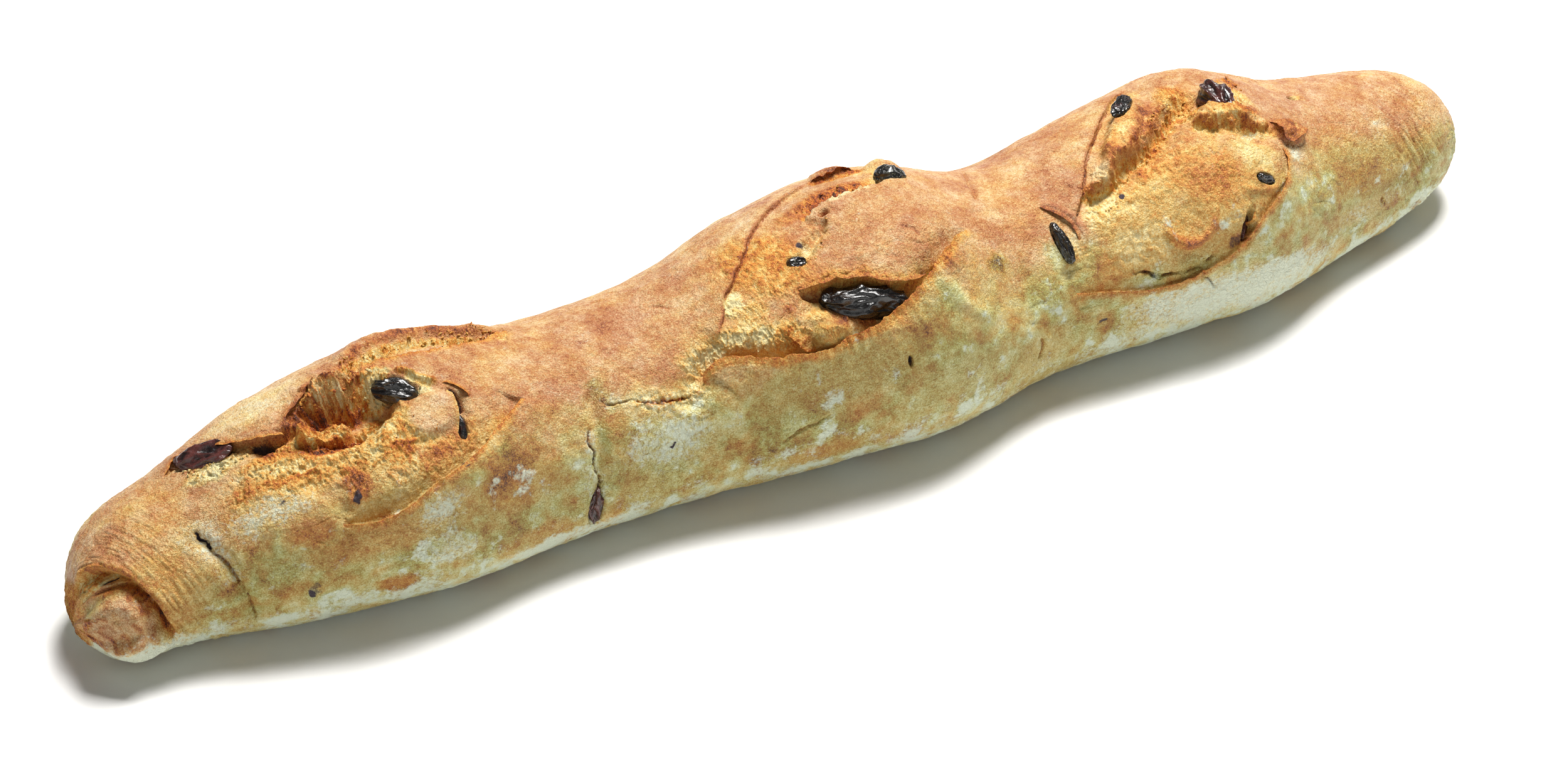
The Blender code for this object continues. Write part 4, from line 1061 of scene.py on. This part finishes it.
def make_tile(number, look):
    """One fine tile of crust, closed through the middle of the loaf."""
    name, start, end, first, last = TILES[number]
    cell = math.sqrt((end - start) * (last - first) * ROUND_PER_DEGREE / TILE_CELLS)
    mesh = bmesh.new()
    bmesh.ops.create_grid(mesh, x_segments=round((end - start) / cell),
                          y_segments=round((last - first) * ROUND_PER_DEGREE / cell), size=1.0)
    rim = [edge for edge in mesh.edges if edge.is_boundary]
    closing = bmesh.ops.edgeloop_fill(mesh, edges=rim)
    hub = bmesh.ops.poke(mesh, faces=closing["faces"])["verts"]
    for vertex in hub:
        vertex.co.z = -1.0
    tile = as_object(name, mesh, look)
    grid = start_places(tile.data)
    x = start + (end - start) * (grid[:, 0] + 1) / 2
    angle = first + (last - first) * (grid[:, 1] + 1) / 2
    border = np.minimum(np.minimum(x - start, end - x),
                        np.minimum(angle - first, last - angle) * ROUND_PER_DEGREE)
    crust = Crust(x, angle)
    dress_crust(crust)
    crust.out += TILE_STEP * (number + 1) - tucked(border)
    crust.out -= BASE_SINK * under_tiles(x, angle, TILES[number + 1:])
    points = crust.points()
    centre = grid[:, 2] < -0.5
    points[centre] = heart(x[centre])
    settle(tile.data, on_origin(points), crust.tone)
    turn_outwards(tile.data)
    carry(tile, "loaf")


def make_end(name, tip, towards, look):
    """A fine cap of crust over one end of the loaf, closed inside."""
    cap, way, round_way = start_tube(name, END_ROUND, END_RINGS, look)
    outer = np.clip(way / END_OUTSIDE, 0, 1)
    share = 0.4 * outer + 0.6 * outer**2
    x = tip + towards * END_LENGTH * share
    angle = round_way - END_CROWDING * np.sin(np.radians(round_way))
    crust = Crust(x, angle)
    dress_crust(crust)
    crust.out += TILE_STEP * END_ABOVE - tucked(END_LENGTH * (1 - share))
    points = crust.points()
    inward = np.clip((way - END_OUTSIDE) / (1 - END_OUTSIDE), 0, 1)[:, None]
    points = points * (1 - inward) + heart(x) * inward
    settle(cap.data, on_origin(points), crust.tone)
    turn_outwards(cap.data)
    carry(cap, "loaf")


def make_flake(name, overhang, reach, lift, thickness, ragged, edge, look):
    """A thin torn edge of crust that stands out over an opening, closed on its underside."""
    curve = smooth_line(EDGES[name], 10)
    steps = np.hypot(*np.diff(curve, axis=0).T)
    lengths = np.concatenate([[0.0], np.cumsum(steps)])
    length = lengths[-1]
    mesh = bmesh.new()
    bmesh.ops.create_grid(mesh, x_segments=round(length / FLAKE_STEP),
                          y_segments=2 * FLAKE_ROWS, size=1.0)
    flake = as_object(name + "_flake", mesh, look)
    grid = start_places(flake.data)
    way = (grid[:, 0] + 1) / 2 * length
    back = np.abs(grid[:, 1]) ** 1.4
    under = grid[:, 1] < -0.001
    middle = np.stack([np.interp(way, lengths, curve[:, i]) for i in (0, 1)], -1)
    ahead = unit(np.stack([np.interp(way + 0.4, lengths, curve[:, i])
                           - np.interp(way - 0.4, lengths, curve[:, i]) for i in (0, 1)], -1))
    right = np.stack([-ahead[:, 1], ahead[:, 0]], -1)
    taper = smoothstep(way / FLAKE_TAPER) * smoothstep((length - way) / FLAKE_TAPER)
    strip = np.stack([way, 0 * way + 10 * len(name), 0 * way], -1)
    teeth = 0.8 * noise(strip, 4.5, 74) + 0.6 * noise(strip, 1.7, 75) + 0.3 * noise(strip, 0.8, 76)
    front = overhang * np.maximum(1 + ragged * teeth, 0.05) * taper
    offset = front * (1 - back) - reach * back
    held = middle + right * np.minimum(offset, -1.0)[:, None]
    crust = Crust(held[:, 0], held[:, 1] / ROUND_PER_DEGREE)
    dress_crust(crust)
    place = middle + right * offset[:, None]
    skin = Crust(place[:, 0], place[:, 1] / ROUND_PER_DEGREE, detail=0)
    waves = 0.35 * noise(np.stack([way, offset, 0 * way], -1), 2.2, 77) * (1 - back)
    height = (lift * (1 + 0.6 * ragged * teeth) + waves) * taper * (1 - back)
    height -= 0.5 * back**3 + 0.6 * (1 - taper)
    depth = thickness * taper * smoothstep(back / 0.25) * (1 - back**4)
    skin.out = crust.out + height - np.where(under, depth, 0.0)
    skin.along, skin.around, skin.down = crust.along, crust.around, crust.down
    cover = np.exp(-(((front - offset) / 0.9) ** 2))
    crust.paint(slice(None), cover, edge)
    crust.tone["torn"] = np.where(under, 0.9, np.maximum(crust.tone["torn"], 0.4 * cover))
    settle(flake.data, on_origin(skin.points()), crust.tone)
    turn_outwards(flake.data, merge=True)
    carry(flake, "loaf")


def make_crumbs(look):
    """Shreds of crumb that stand out of the torn faces, all in one piece."""
    draw = np.random.default_rng(5)
    drawn = []
    for x, angle, long_half, wide_half, turn, count, size, bake, green in CRUMBS:
        spin = math.radians(turn)
        out_to = np.sqrt(draw.random(count))
        way = draw.random(count) * 2 * math.pi
        a, b = out_to * np.cos(way) * long_half, out_to * np.sin(way) * wide_half
        drawn.append(np.stack([
            x + a * math.cos(spin) - b * math.sin(spin),
            angle + (a * math.sin(spin) + b * math.cos(spin)) / ROUND_PER_DEGREE,
            size * (0.4 + 1.5 * draw.random(count) ** 2),
            bake + 0.3 * (draw.random(count) - 0.5),
            np.full(count, green),
        ], -1))
    drawn = np.vstack(drawn)
    crust = Crust(drawn[:, 0], drawn[:, 1])
    dress_crust(crust)
    out, along, around = directions(crust.x, crust.angle)
    mesh = bmesh.new()
    for _ in drawn:
        bmesh.ops.create_icosphere(mesh, subdivisions=1, radius=1.0)
    crumbs = as_object("torn_crumbs", mesh, look)
    balls = start_places(crumbs.data).reshape(len(drawn), -1, 3)
    tilt = draw.normal(size=(len(drawn), 3, 3))
    long_way = unit(0.7 * around + 0.5 * out + 0.8 * tilt[:, 0])
    wide_way = unit(np.cross(out + 0.4 * tilt[:, 1], long_way))
    thick_way = np.cross(long_way, wide_way)
    frames = np.stack([long_way, wide_way, thick_way], 1)
    spread = (balls + 9 * np.arange(len(drawn))[:, None, None]).reshape(-1, 3)
    lumps = (1 + 0.35 * noise(spread, 0.9, 95)).reshape(len(drawn), -1, 1)
    half = drawn[:, 2][:, None] * np.array([0.50, 0.19, 0.12])
    shape = np.einsum("nki,nij->nkj", balls * lumps * half[:, None, :], frames)
    places = crust.points()[:, None, :] + shape
    each = balls.shape[1]
    tones = {name: np.repeat(crust.tone[name], each) for name in TONES}
    tones["bake"] = np.repeat(drawn[:, 3], each) + 0.2 * (lumps.ravel() - 1)
    tones["green"] = np.repeat(drawn[:, 4], each)
    tones["torn"] = np.full(len(drawn) * each, 0.95)
    tones["rosy"] = np.zeros(len(drawn) * each)
    settle(crumbs.data, on_origin(places.reshape(-1, 3)), tones)
    turn_outwards(crumbs.data)
    carry(crumbs, "loaf")


def on_crust(x, angle, stand, turn):
    """Matrix that lays a piece on the crust: its X along the turned line, its Z outwards."""
    spot = Crust(np.array([float(x)]), np.array([float(angle)]), detail=0)
    shape_crust(spot)
    out, along, around = (Vector(v[0]) for v in directions(spot.x, spot.angle))
    spin = math.radians(turn)
    length_way = (along * math.cos(spin) + around * math.sin(spin)).normalized()
    across = out.cross(length_way).normalized()
    place = Vector(on_origin(spot.points()[0])) + out * stand * MM
    turned = Matrix((length_way, across, out)).transposed().to_4x4()
    return Matrix.Translation(place) @ turned @ Matrix.Scale(MM, 4)


def make_olive(name, x, angle, stand, length, width, thickness, turn, wrinkle, slice_at, brown,
               dough, look):
    """A cut olive with a shrivelled skin, laid in its bed."""
    mesh = bmesh.new()
    steps_round, steps_along = FINE_OLIVE if length > LARGE_OLIVE else SMALL_OLIVE
    bmesh.ops.create_uvsphere(mesh, u_segments=steps_round, v_segments=steps_along, radius=1.0)
    olive = as_object(name + "_skin", mesh, look)
    sphere = start_places(olive.data)
    px, py, pz = sphere[:, 2], sphere[:, 0], sphere[:, 1]
    sliced = slice_at + SLICE_LEAN * (py - px)
    pz = np.minimum(pz, sliced + SLICE_BULGE * (pz - sliced))
    dents = 1 + 0.05 * np.sin(5 * px + 2 * py + length) - 0.06 * wrinkle * np.cos(7 * py - 4 * pz)
    bend = 0.10 * (px**2 - 0.4)
    half = np.array([length, width, thickness]) / 2
    shape = np.stack([px, py * dents + bend, pz * dents], -1) * half
    seed = int(name[-2:])
    long_way = shape * np.array([0.35, 1.0, 1.0])
    scale = min(width, thickness) / 6.0
    folds = (ridges(long_way, 2.4 * scale, 60 + seed) - 0.5
             + 0.4 * (ridges(long_way, 1.1 * scale, 80 + seed) - 0.5))
    lumps = noise(shape, 3.2, 90 + seed)
    outward = unit(sphere[:, [2, 0, 1]] / half)
    depth = (0.30 + 0.60 * wrinkle) * min(width, thickness) / 7
    shape = shape + outward * (folds * depth + lumps * 0.35 * depth)[:, None]
    matrix = np.array(on_crust(x, angle, stand, turn))
    points = shape @ matrix[:3, :3].T + matrix[:3, 3]
    clinging = dough * smoothstep(0.4 - 0.9 * pz + 0.5 * lumps) + 0.25 * dough
    tones = {"brown": np.full(len(shape), brown), "flour": clinging, "fold": folds}
    settle(olive.data, points, tones)
    turn_outwards(olive.data)
    carry(olive, name)


class Wiring:
    """Adds nodes to one node tree and joins them."""

    def __init__(self, tree):
        self.tree = tree

    def node(self, kind, inputs=None, **settings):
        """A new node, its settings made and its inputs joined."""
        made = self.tree.nodes.new(kind)
        for name, value in settings.items():
            setattr(made, name, value)
        for name, value in (inputs or {}).items():
            self.join(value, made.inputs[name])
        return made

    def join(self, value, socket):
        """Join a socket to another, or set its own value."""
        if isinstance(value, bpy.types.NodeSocket):
            self.tree.links.new(value, socket)
        else:
            socket.default_value = value

    def sum(self, *terms):
        """Add up values, each a socket or a (socket, weight) pair."""
        total = None
        for term in terms:
            value, weight = term if isinstance(term, tuple) else (term, 1.0)
            if total is None:
                total = self.math("MULTIPLY", value, weight)
            else:
                made = self.node("ShaderNodeMath", {0: value, 1: weight, 2: total},
                                 operation="MULTIPLY_ADD")
                total = made.outputs[0]
        return total

    def math(self, operation, a, b):
        """One sum, product or the like of two values."""
        return self.node("ShaderNodeMath", {0: a, 1: b}, operation=operation).outputs[0]

    def tones(self, names):
        """The tones kept on the skin, each by its name."""
        return {name: self.node("ShaderNodeAttribute", attribute_name=name).outputs["Fac"]
                for name in names}

    def effect(self, group, size):
        """A shared effect at a given size: its node, so that more of it can be joined."""
        made = self.node("ShaderNodeGroup", node_tree=group)
        made.inputs["Size"].default_value = size
        return made

    def ease(self, value, low, high):
        """0 below the low value and 1 above the high one, with a soft change between."""
        made = self.node("ShaderNodeMapRange", {"Value": value, "From Min": low, "From Max": high},
                         interpolation_type="SMOOTHSTEP")
        return made.outputs["Result"]

    def blend(self, share, a, b):
        """Mix two colours by a share."""
        made = self.node("ShaderNodeMix", data_type="RGBA", clamp_factor=True)
        self.join(share, made.inputs[0])
        self.join(a, made.inputs[6])
        self.join(b, made.inputs[7])
        return made.outputs[2]

    def ramp(self, value, colours):
        """Colours along a value, as (place, red, green, blue) with 0 to 255 parts."""
        made = self.node("ShaderNodeValToRGB", {"Fac": value})
        stops = made.color_ramp.elements
        while len(stops) < len(colours):
            stops.new(0.5)
        for stop, (place, *parts) in zip(stops, colours):
            stop.position = place
            stop.color = colour(*parts)
        return made.outputs["Color"]

    def grainy(self, coordinates, size, detail=2.0, rough=0.5, distortion=0.0):
        """Noise with swells of the given size in millimetres, or of the scale from a socket."""
        made = self.node("ShaderNodeTexNoise", {"Vector": coordinates, "Detail": detail,
                                                "Roughness": rough, "Distortion": distortion})
        scale = size if isinstance(size, bpy.types.NodeSocket) else 1 / (size * MM)
        self.join(scale, made.inputs["Scale"])
        return made.outputs["Fac"]


def colour(red, green, blue):
    """A colour from display parts of 0 to 255 to the linear values that shaders take."""
    linear = [(part / 255 / 12.92) if part <= 10 else ((part / 255 + 0.055) / 1.055) ** 2.4
              for part in (red, green, blue)]
    return (*linear, 1.0)


def new_group(name, inputs, outputs):
    """A shader node group with named sockets: its tree, its inputs and its output node."""
    tree = bpy.data.node_groups.new(name, "ShaderNodeTree")
    for label, value in inputs:
        socket = tree.interface.new_socket(label, in_out="INPUT", socket_type="NodeSocketFloat")
        socket.default_value = value
    for label in outputs:
        tree.interface.new_socket(label, in_out="OUTPUT", socket_type="NodeSocketFloat")
    wiring = Wiring(tree)
    source = wiring.node("NodeGroupInput")
    target = wiring.node("NodeGroupOutput")
    return wiring, source.outputs, target.inputs


def build_grain_group():
    """Baked grain: blotches, freckles and a pebbled height, all from one size."""
    wiring, given, made = new_group("Baked grain", [("Size", 1.0)], ["Blotch", "Freckle", "Height"])
    place = wiring.node("ShaderNodeTexCoord").outputs["Object"]
    per_metre = wiring.math("DIVIDE", 1000.0, given["Size"])
    blotch = wiring.grainy(place, wiring.math("MULTIPLY", per_metre, 0.28), 3.0, 0.6)
    freckle = wiring.grainy(place, wiring.math("MULTIPLY", per_metre, 1.6), 2.0, 0.65)
    pebble = wiring.grainy(place, wiring.math("MULTIPLY", per_metre, 1.1), 4.0, 0.6, 0.3)
    for name, value in (("Blotch", blotch), ("Freckle", freckle), ("Height", pebble)):
        wiring.join(value, made[name])
    return wiring.tree


def build_dust_group():
    """Flour dust: a cover that breaks into specks and cracks where there is less of it."""
    wiring, given, made = new_group("Flour dust", [("Amount", 0.0), ("Size", 1.0)],
                                    ["Cover", "Cracks"])
    place = wiring.node("ShaderNodeTexCoord").outputs["Object"]
    per_metre = wiring.math("DIVIDE", 1000.0, given["Size"])
    specks = wiring.grainy(place, wiring.math("MULTIPLY", per_metre, 1.2), 4.0, 0.7)
    clouds = wiring.grainy(place, wiring.math("MULTIPLY", per_metre, 0.2), 2.0, 0.5)
    level = wiring.sum((given["Amount"], 1.7), (specks, 3.2), (clouds, 1.6), (2.85, -1.0))
    cover = wiring.ease(level, 0.0, 1.1)
    bent = wiring.node("ShaderNodeTexNoise", {"Vector": place, "Scale": 700.0, "Detail": 2.0})
    shifted = wiring.node("ShaderNodeVectorMath",
                          {0: bent.outputs["Color"], 1: (CRACK_BEND * MM,) * 3, 2: place},
                          operation="MULTIPLY_ADD")
    crackle = wiring.node("ShaderNodeTexVoronoi",
                          {"Vector": shifted.outputs["Vector"],
                           "Scale": wiring.math("MULTIPLY", per_metre, 0.7)},
                          feature="DISTANCE_TO_EDGE")
    open_line = wiring.ease(crackle.outputs["Distance"], 0.07, 0.0)
    dusty = wiring.ease(given["Amount"], -0.5, 0.7)
    wiring.join(cover, made["Cover"])
    wiring.join(wiring.math("MULTIPLY", open_line, dusty), made["Cracks"])
    return wiring.tree


# Grain and dust sizes of the finishes, and how far the flour's cracks stray, in millimetres
COARSE_GRAIN, FINE_GRAIN, OLIVE_GRAIN = 2.2, 0.62, 0.8
CRUST_DUST, OLIVE_DUST = 1.3, 0.8
CRACK_BEND = 2.0

# Colours from pale to burnt, as a place from 0 to 1 and red, green and blue of 0 to 255
GOLDEN_CRUST = ((0.0, 230, 212, 156), (0.3, 210, 174, 98), (0.5, 192, 137, 60),
                (0.7, 170, 99, 34), (0.85, 120, 60, 24), (1.0, 58, 30, 18))
PINKISH_CRUST = ((0.0, 226, 208, 178), (0.3, 206, 172, 134), (0.5, 182, 132, 90),
                 (0.7, 164, 98, 56), (0.85, 122, 64, 40), (1.0, 62, 33, 26))
OLIVE_CRUST = ((0.0, 214, 220, 178), (0.3, 194, 193, 130), (0.5, 170, 160, 84),
               (0.7, 152, 118, 46), (0.85, 104, 72, 34), (1.0, 52, 38, 24))
CRUMB = ((0.0, 242, 228, 172), (0.25, 228, 186, 100), (0.5, 216, 140, 44),
         (0.7, 188, 92, 22), (0.85, 130, 58, 16), (1.0, 66, 32, 16))
FLOUR = (220, 228, 208)
# Dark brown of burnt edges, also used as painted shade in cracks, pits and gaps under lips
CHAR_AND_SHADE = (40, 23, 18)
OLIVE_STAIN = (52, 38, 48)
OLIVE_BLACK, OLIVE_BROWN, OLIVE_BLOOM = (12, 9, 10), (88, 46, 42), (88, 90, 98)
CLINGING_DOUGH = (190, 190, 158)


def new_look(name):
    """A new finish: its material, the wiring of its nodes and its shader's inputs."""
    look = bpy.data.materials.new(name)
    look.use_nodes = True
    return look, Wiring(look.node_tree), look.node_tree.nodes["Principled BSDF"].inputs


def raise_height(wiring, height, shader):
    """Let the light show a height in millimetres."""
    bump = wiring.node("ShaderNodeBump", {"Height": height, "Distance": MM, "Strength": 1.0})
    wiring.join(bump.outputs["Normal"], shader["Normal"])


def make_bread_look(grain, dust):
    """Crust, torn crumb and flour in one finish, led by the tones kept on the skin."""
    look, wiring, shader = new_look("Baked crust")
    tone = wiring.tones(TONES)
    place = wiring.node("ShaderNodeTexCoord").outputs["Object"]
    coarse = wiring.effect(grain, COARSE_GRAIN)
    fine = wiring.effect(grain, FINE_GRAIN)
    floured = wiring.effect(dust, CRUST_DUST)
    wiring.join(tone["flour"], floured.inputs["Amount"])
    mottle = wiring.sum((coarse.outputs["Blotch"], 0.62), (coarse.outputs["Freckle"], 0.40),
                        (fine.outputs["Blotch"], 0.30), (fine.outputs["Freckle"], 0.90),
                        (floured.outputs["Cracks"], 0.16), (1.13, -1.0))
    baked = wiring.sum(tone["bake"], mottle)
    strung = wiring.node("ShaderNodeMapping", {"Vector": place, "Scale": (1.0, 0.35, 0.35)})
    fibre = wiring.grainy(strung.outputs["Vector"], 0.6, 4.0, 0.7, 0.8)
    crumb = wiring.ramp(wiring.sum(baked, (fibre, 1.0), (0.5, -1.0)), CRUMB)
    hue = wiring.grainy(place, 5.0, 3.0, 0.6)
    blush = wiring.sum(tone["rosy"], (hue, 1.4), (0.82, -1.0))
    skin = wiring.blend(blush, wiring.ramp(baked, GOLDEN_CRUST), wiring.ramp(baked, PINKISH_CRUST))
    skin = wiring.blend(tone["green"], skin, wiring.ramp(baked, OLIVE_CRUST))
    open_crumb = wiring.math("MULTIPLY", wiring.math("MINIMUM", tone["torn"], 1.0),
                             wiring.sum((tone["rosy"], -0.5), (1.0, 1.0)))
    skin = wiring.blend(open_crumb, skin, crumb)
    covered = wiring.math("MULTIPLY", floured.outputs["Cover"], 0.88)
    skin = wiring.blend(covered, skin, colour(*FLOUR))
    # Burnt dark brown, which also paints the shade into cracks, pits and gaps under lips
    char_and_shade_share = wiring.sum((tone["char"], 1.2), (fine.outputs["Freckle"], 0.5), (0.5, -0.7))
    skin = wiring.blend(wiring.ease(char_and_shade_share, 0.1, 0.75), skin, colour(*CHAR_AND_SHADE))
    inky = wiring.sum((tone["stain"], 1.3), (fine.outputs["Freckle"], 0.8), (0.5, -1.1))
    skin = wiring.blend(wiring.ease(inky, 0.0, 0.7), skin, colour(*OLIVE_STAIN))
    wiring.join(skin, shader["Base Color"])
    rough = wiring.sum((coarse.outputs["Freckle"], 0.3), (floured.outputs["Cover"], 0.3),
                       (tone["torn"], 0.12), (0.34, 1.0))
    wiring.join(rough, shader["Roughness"])
    shader["Specular IOR Level"].default_value = 0.5
    torn_height = wiring.math("MULTIPLY", fibre, tone["torn"])
    height = wiring.sum((coarse.outputs["Height"], 0.60), (fine.outputs["Height"], 0.55),
                        (torn_height, 0.7), (floured.outputs["Cracks"], -0.12),
                        (floured.outputs["Cover"], 0.05))
    raise_height(wiring, height, shader)
    return look


def make_olive_look(grain, dust):
    """Black olive skin: glossy, brownish where it is thin, with dough and bloom on it."""
    look, wiring, shader = new_look("Black olive skin")
    tone = wiring.tones(("brown", "flour", "fold"))
    fine = wiring.effect(grain, OLIVE_GRAIN)
    dusted = wiring.effect(dust, OLIVE_DUST)
    wiring.join(tone["flour"], dusted.inputs["Amount"])
    patch = wiring.ease(wiring.sum((fine.outputs["Blotch"], 1.4), (tone["brown"], 0.9),
                                   (tone["fold"], 0.3), (0.7, -1.5)), 0.0, 0.7)
    skin = wiring.blend(patch, colour(*OLIVE_BLACK), colour(*OLIVE_BROWN))
    bloom = wiring.ease(fine.outputs["Freckle"], 0.52, 0.8)
    skin = wiring.blend(wiring.math("MULTIPLY", bloom, 0.12), skin, colour(*OLIVE_BLOOM))
    covered = wiring.math("MULTIPLY", dusted.outputs["Cover"], 0.75)
    skin = wiring.blend(covered, skin, colour(*CLINGING_DOUGH))
    wiring.join(skin, shader["Base Color"])
    rough = wiring.sum((fine.outputs["Freckle"], 0.3), (dusted.outputs["Cover"], 0.4), (0.12, 1.0))
    wiring.join(rough, shader["Roughness"])
    shader["Specular IOR Level"].default_value = 0.6
    wiring.join(wiring.sum((tone["brown"], -0.45), (0.55, 1.0)), shader["Coat Weight"])
    shader["Coat Roughness"].default_value = 0.2
    height = wiring.sum((fine.outputs["Height"], 0.16), (dusted.outputs["Cover"], 0.06))
    raise_height(wiring, height, shader)
    return look


def make_floor_look():
    """A plain pale floor."""
    look, _, shader = new_look("Pale floor")
    shader["Base Color"].default_value = (0.9, 0.9, 0.9, 1.0)
    shader["Roughness"].default_value = 0.9
    return look


# The photographed view, in degrees and metres, and the stage
CAMERA_TURN, CAMERA_RISE = -29.15, 38.0
CAMERA_TARGET = (-0.0213, -0.0220, 0.030)
CAMERA_DISTANCE = 1.135
LENS, SENSOR_WIDTH = 100.0, 36.0  # in millimetres
FLOOR_HALF = 4.0
SKY_TINT, SKY_STRENGTH = (1.0, 1.0, 0.96, 1.0), 0.11

# Lamps: name, turn, rise, distance, size, watts and tint
LAMPS = (
    ("Soft box", 128, 69, 1.5, 0.55, 44.0, (1.0, 0.985, 0.96)),
    ("Front fill", -40, 24, 1.8, 1.2, 4.6, (1.0, 1.0, 0.97)),
)


def look_from(turn, rise, distance, target):
    """Matrix of a camera or lamp that looks at the target from a turn and a rise."""
    turned, raised = math.radians(turn), math.radians(rise)
    back = Vector((math.sin(turned) * math.cos(raised), -math.cos(turned) * math.cos(raised),
                   math.sin(raised)))
    spot = Vector(target) + back * distance
    return Matrix.Translation(spot) @ back.to_track_quat("Z", "Y").to_matrix().to_4x4()


def set_stage():
    """Floor, sky, lamps and camera."""
    mesh = bmesh.new()
    bmesh.ops.create_grid(mesh, x_segments=1, y_segments=1, size=FLOOR_HALF)
    floor = as_object("floor", mesh, make_floor_look())
    sky = bpy.data.worlds.new("Studio sky")
    bpy.context.scene.world = sky
    sky.use_nodes = True
    glow = sky.node_tree.nodes["Background"]
    glow.inputs["Color"].default_value = SKY_TINT
    glow.inputs["Strength"].default_value = SKY_STRENGTH
    for name, turn, rise, distance, size, power, tint in LAMPS:
        lamp = bpy.data.lights.new(name, "AREA")
        lamp.size = size
        lamp.energy = power
        lamp.color = tint
        holder = bpy.data.objects.new(name, lamp)
        holder.matrix_world = look_from(turn, rise, distance, (0, 0, 0))
        bpy.context.scene.collection.objects.link(holder)
    camera = bpy.data.cameras.new("Photo view")
    camera.lens = LENS
    camera.sensor_width = SENSOR_WIDTH
    camera.clip_start = 0.01
    viewer = bpy.data.objects.new("Photo view", camera)
    viewer.matrix_world = look_from(CAMERA_TURN, CAMERA_RISE, CAMERA_DISTANCE, CAMERA_TARGET)
    bpy.context.scene.collection.objects.link(viewer)
    bpy.context.scene.camera = viewer
    bpy.context.scene.view_settings.view_transform = "Standard"


def main():
    """Make the finishes, every piece of the loaf and the stage."""
    grain = build_grain_group()
    dust = build_dust_group()
    bread = make_bread_look(grain, dust)
    olive_skin = make_olive_look(grain, dust)
    make_loaf_crust(bread)
    for number in range(len(TILES)):
        make_tile(number, bread)
    make_end("left_end", LEFT_TIP, 1, bread)
    make_end("right_end", RIGHT_TIP, -1, bread)
    for spec in FLAKES:
        make_flake(*spec, bread)
    make_crumbs(bread)
    for spec in OLIVES:
        make_olive(*spec, olive_skin)
    set_stage()


main()
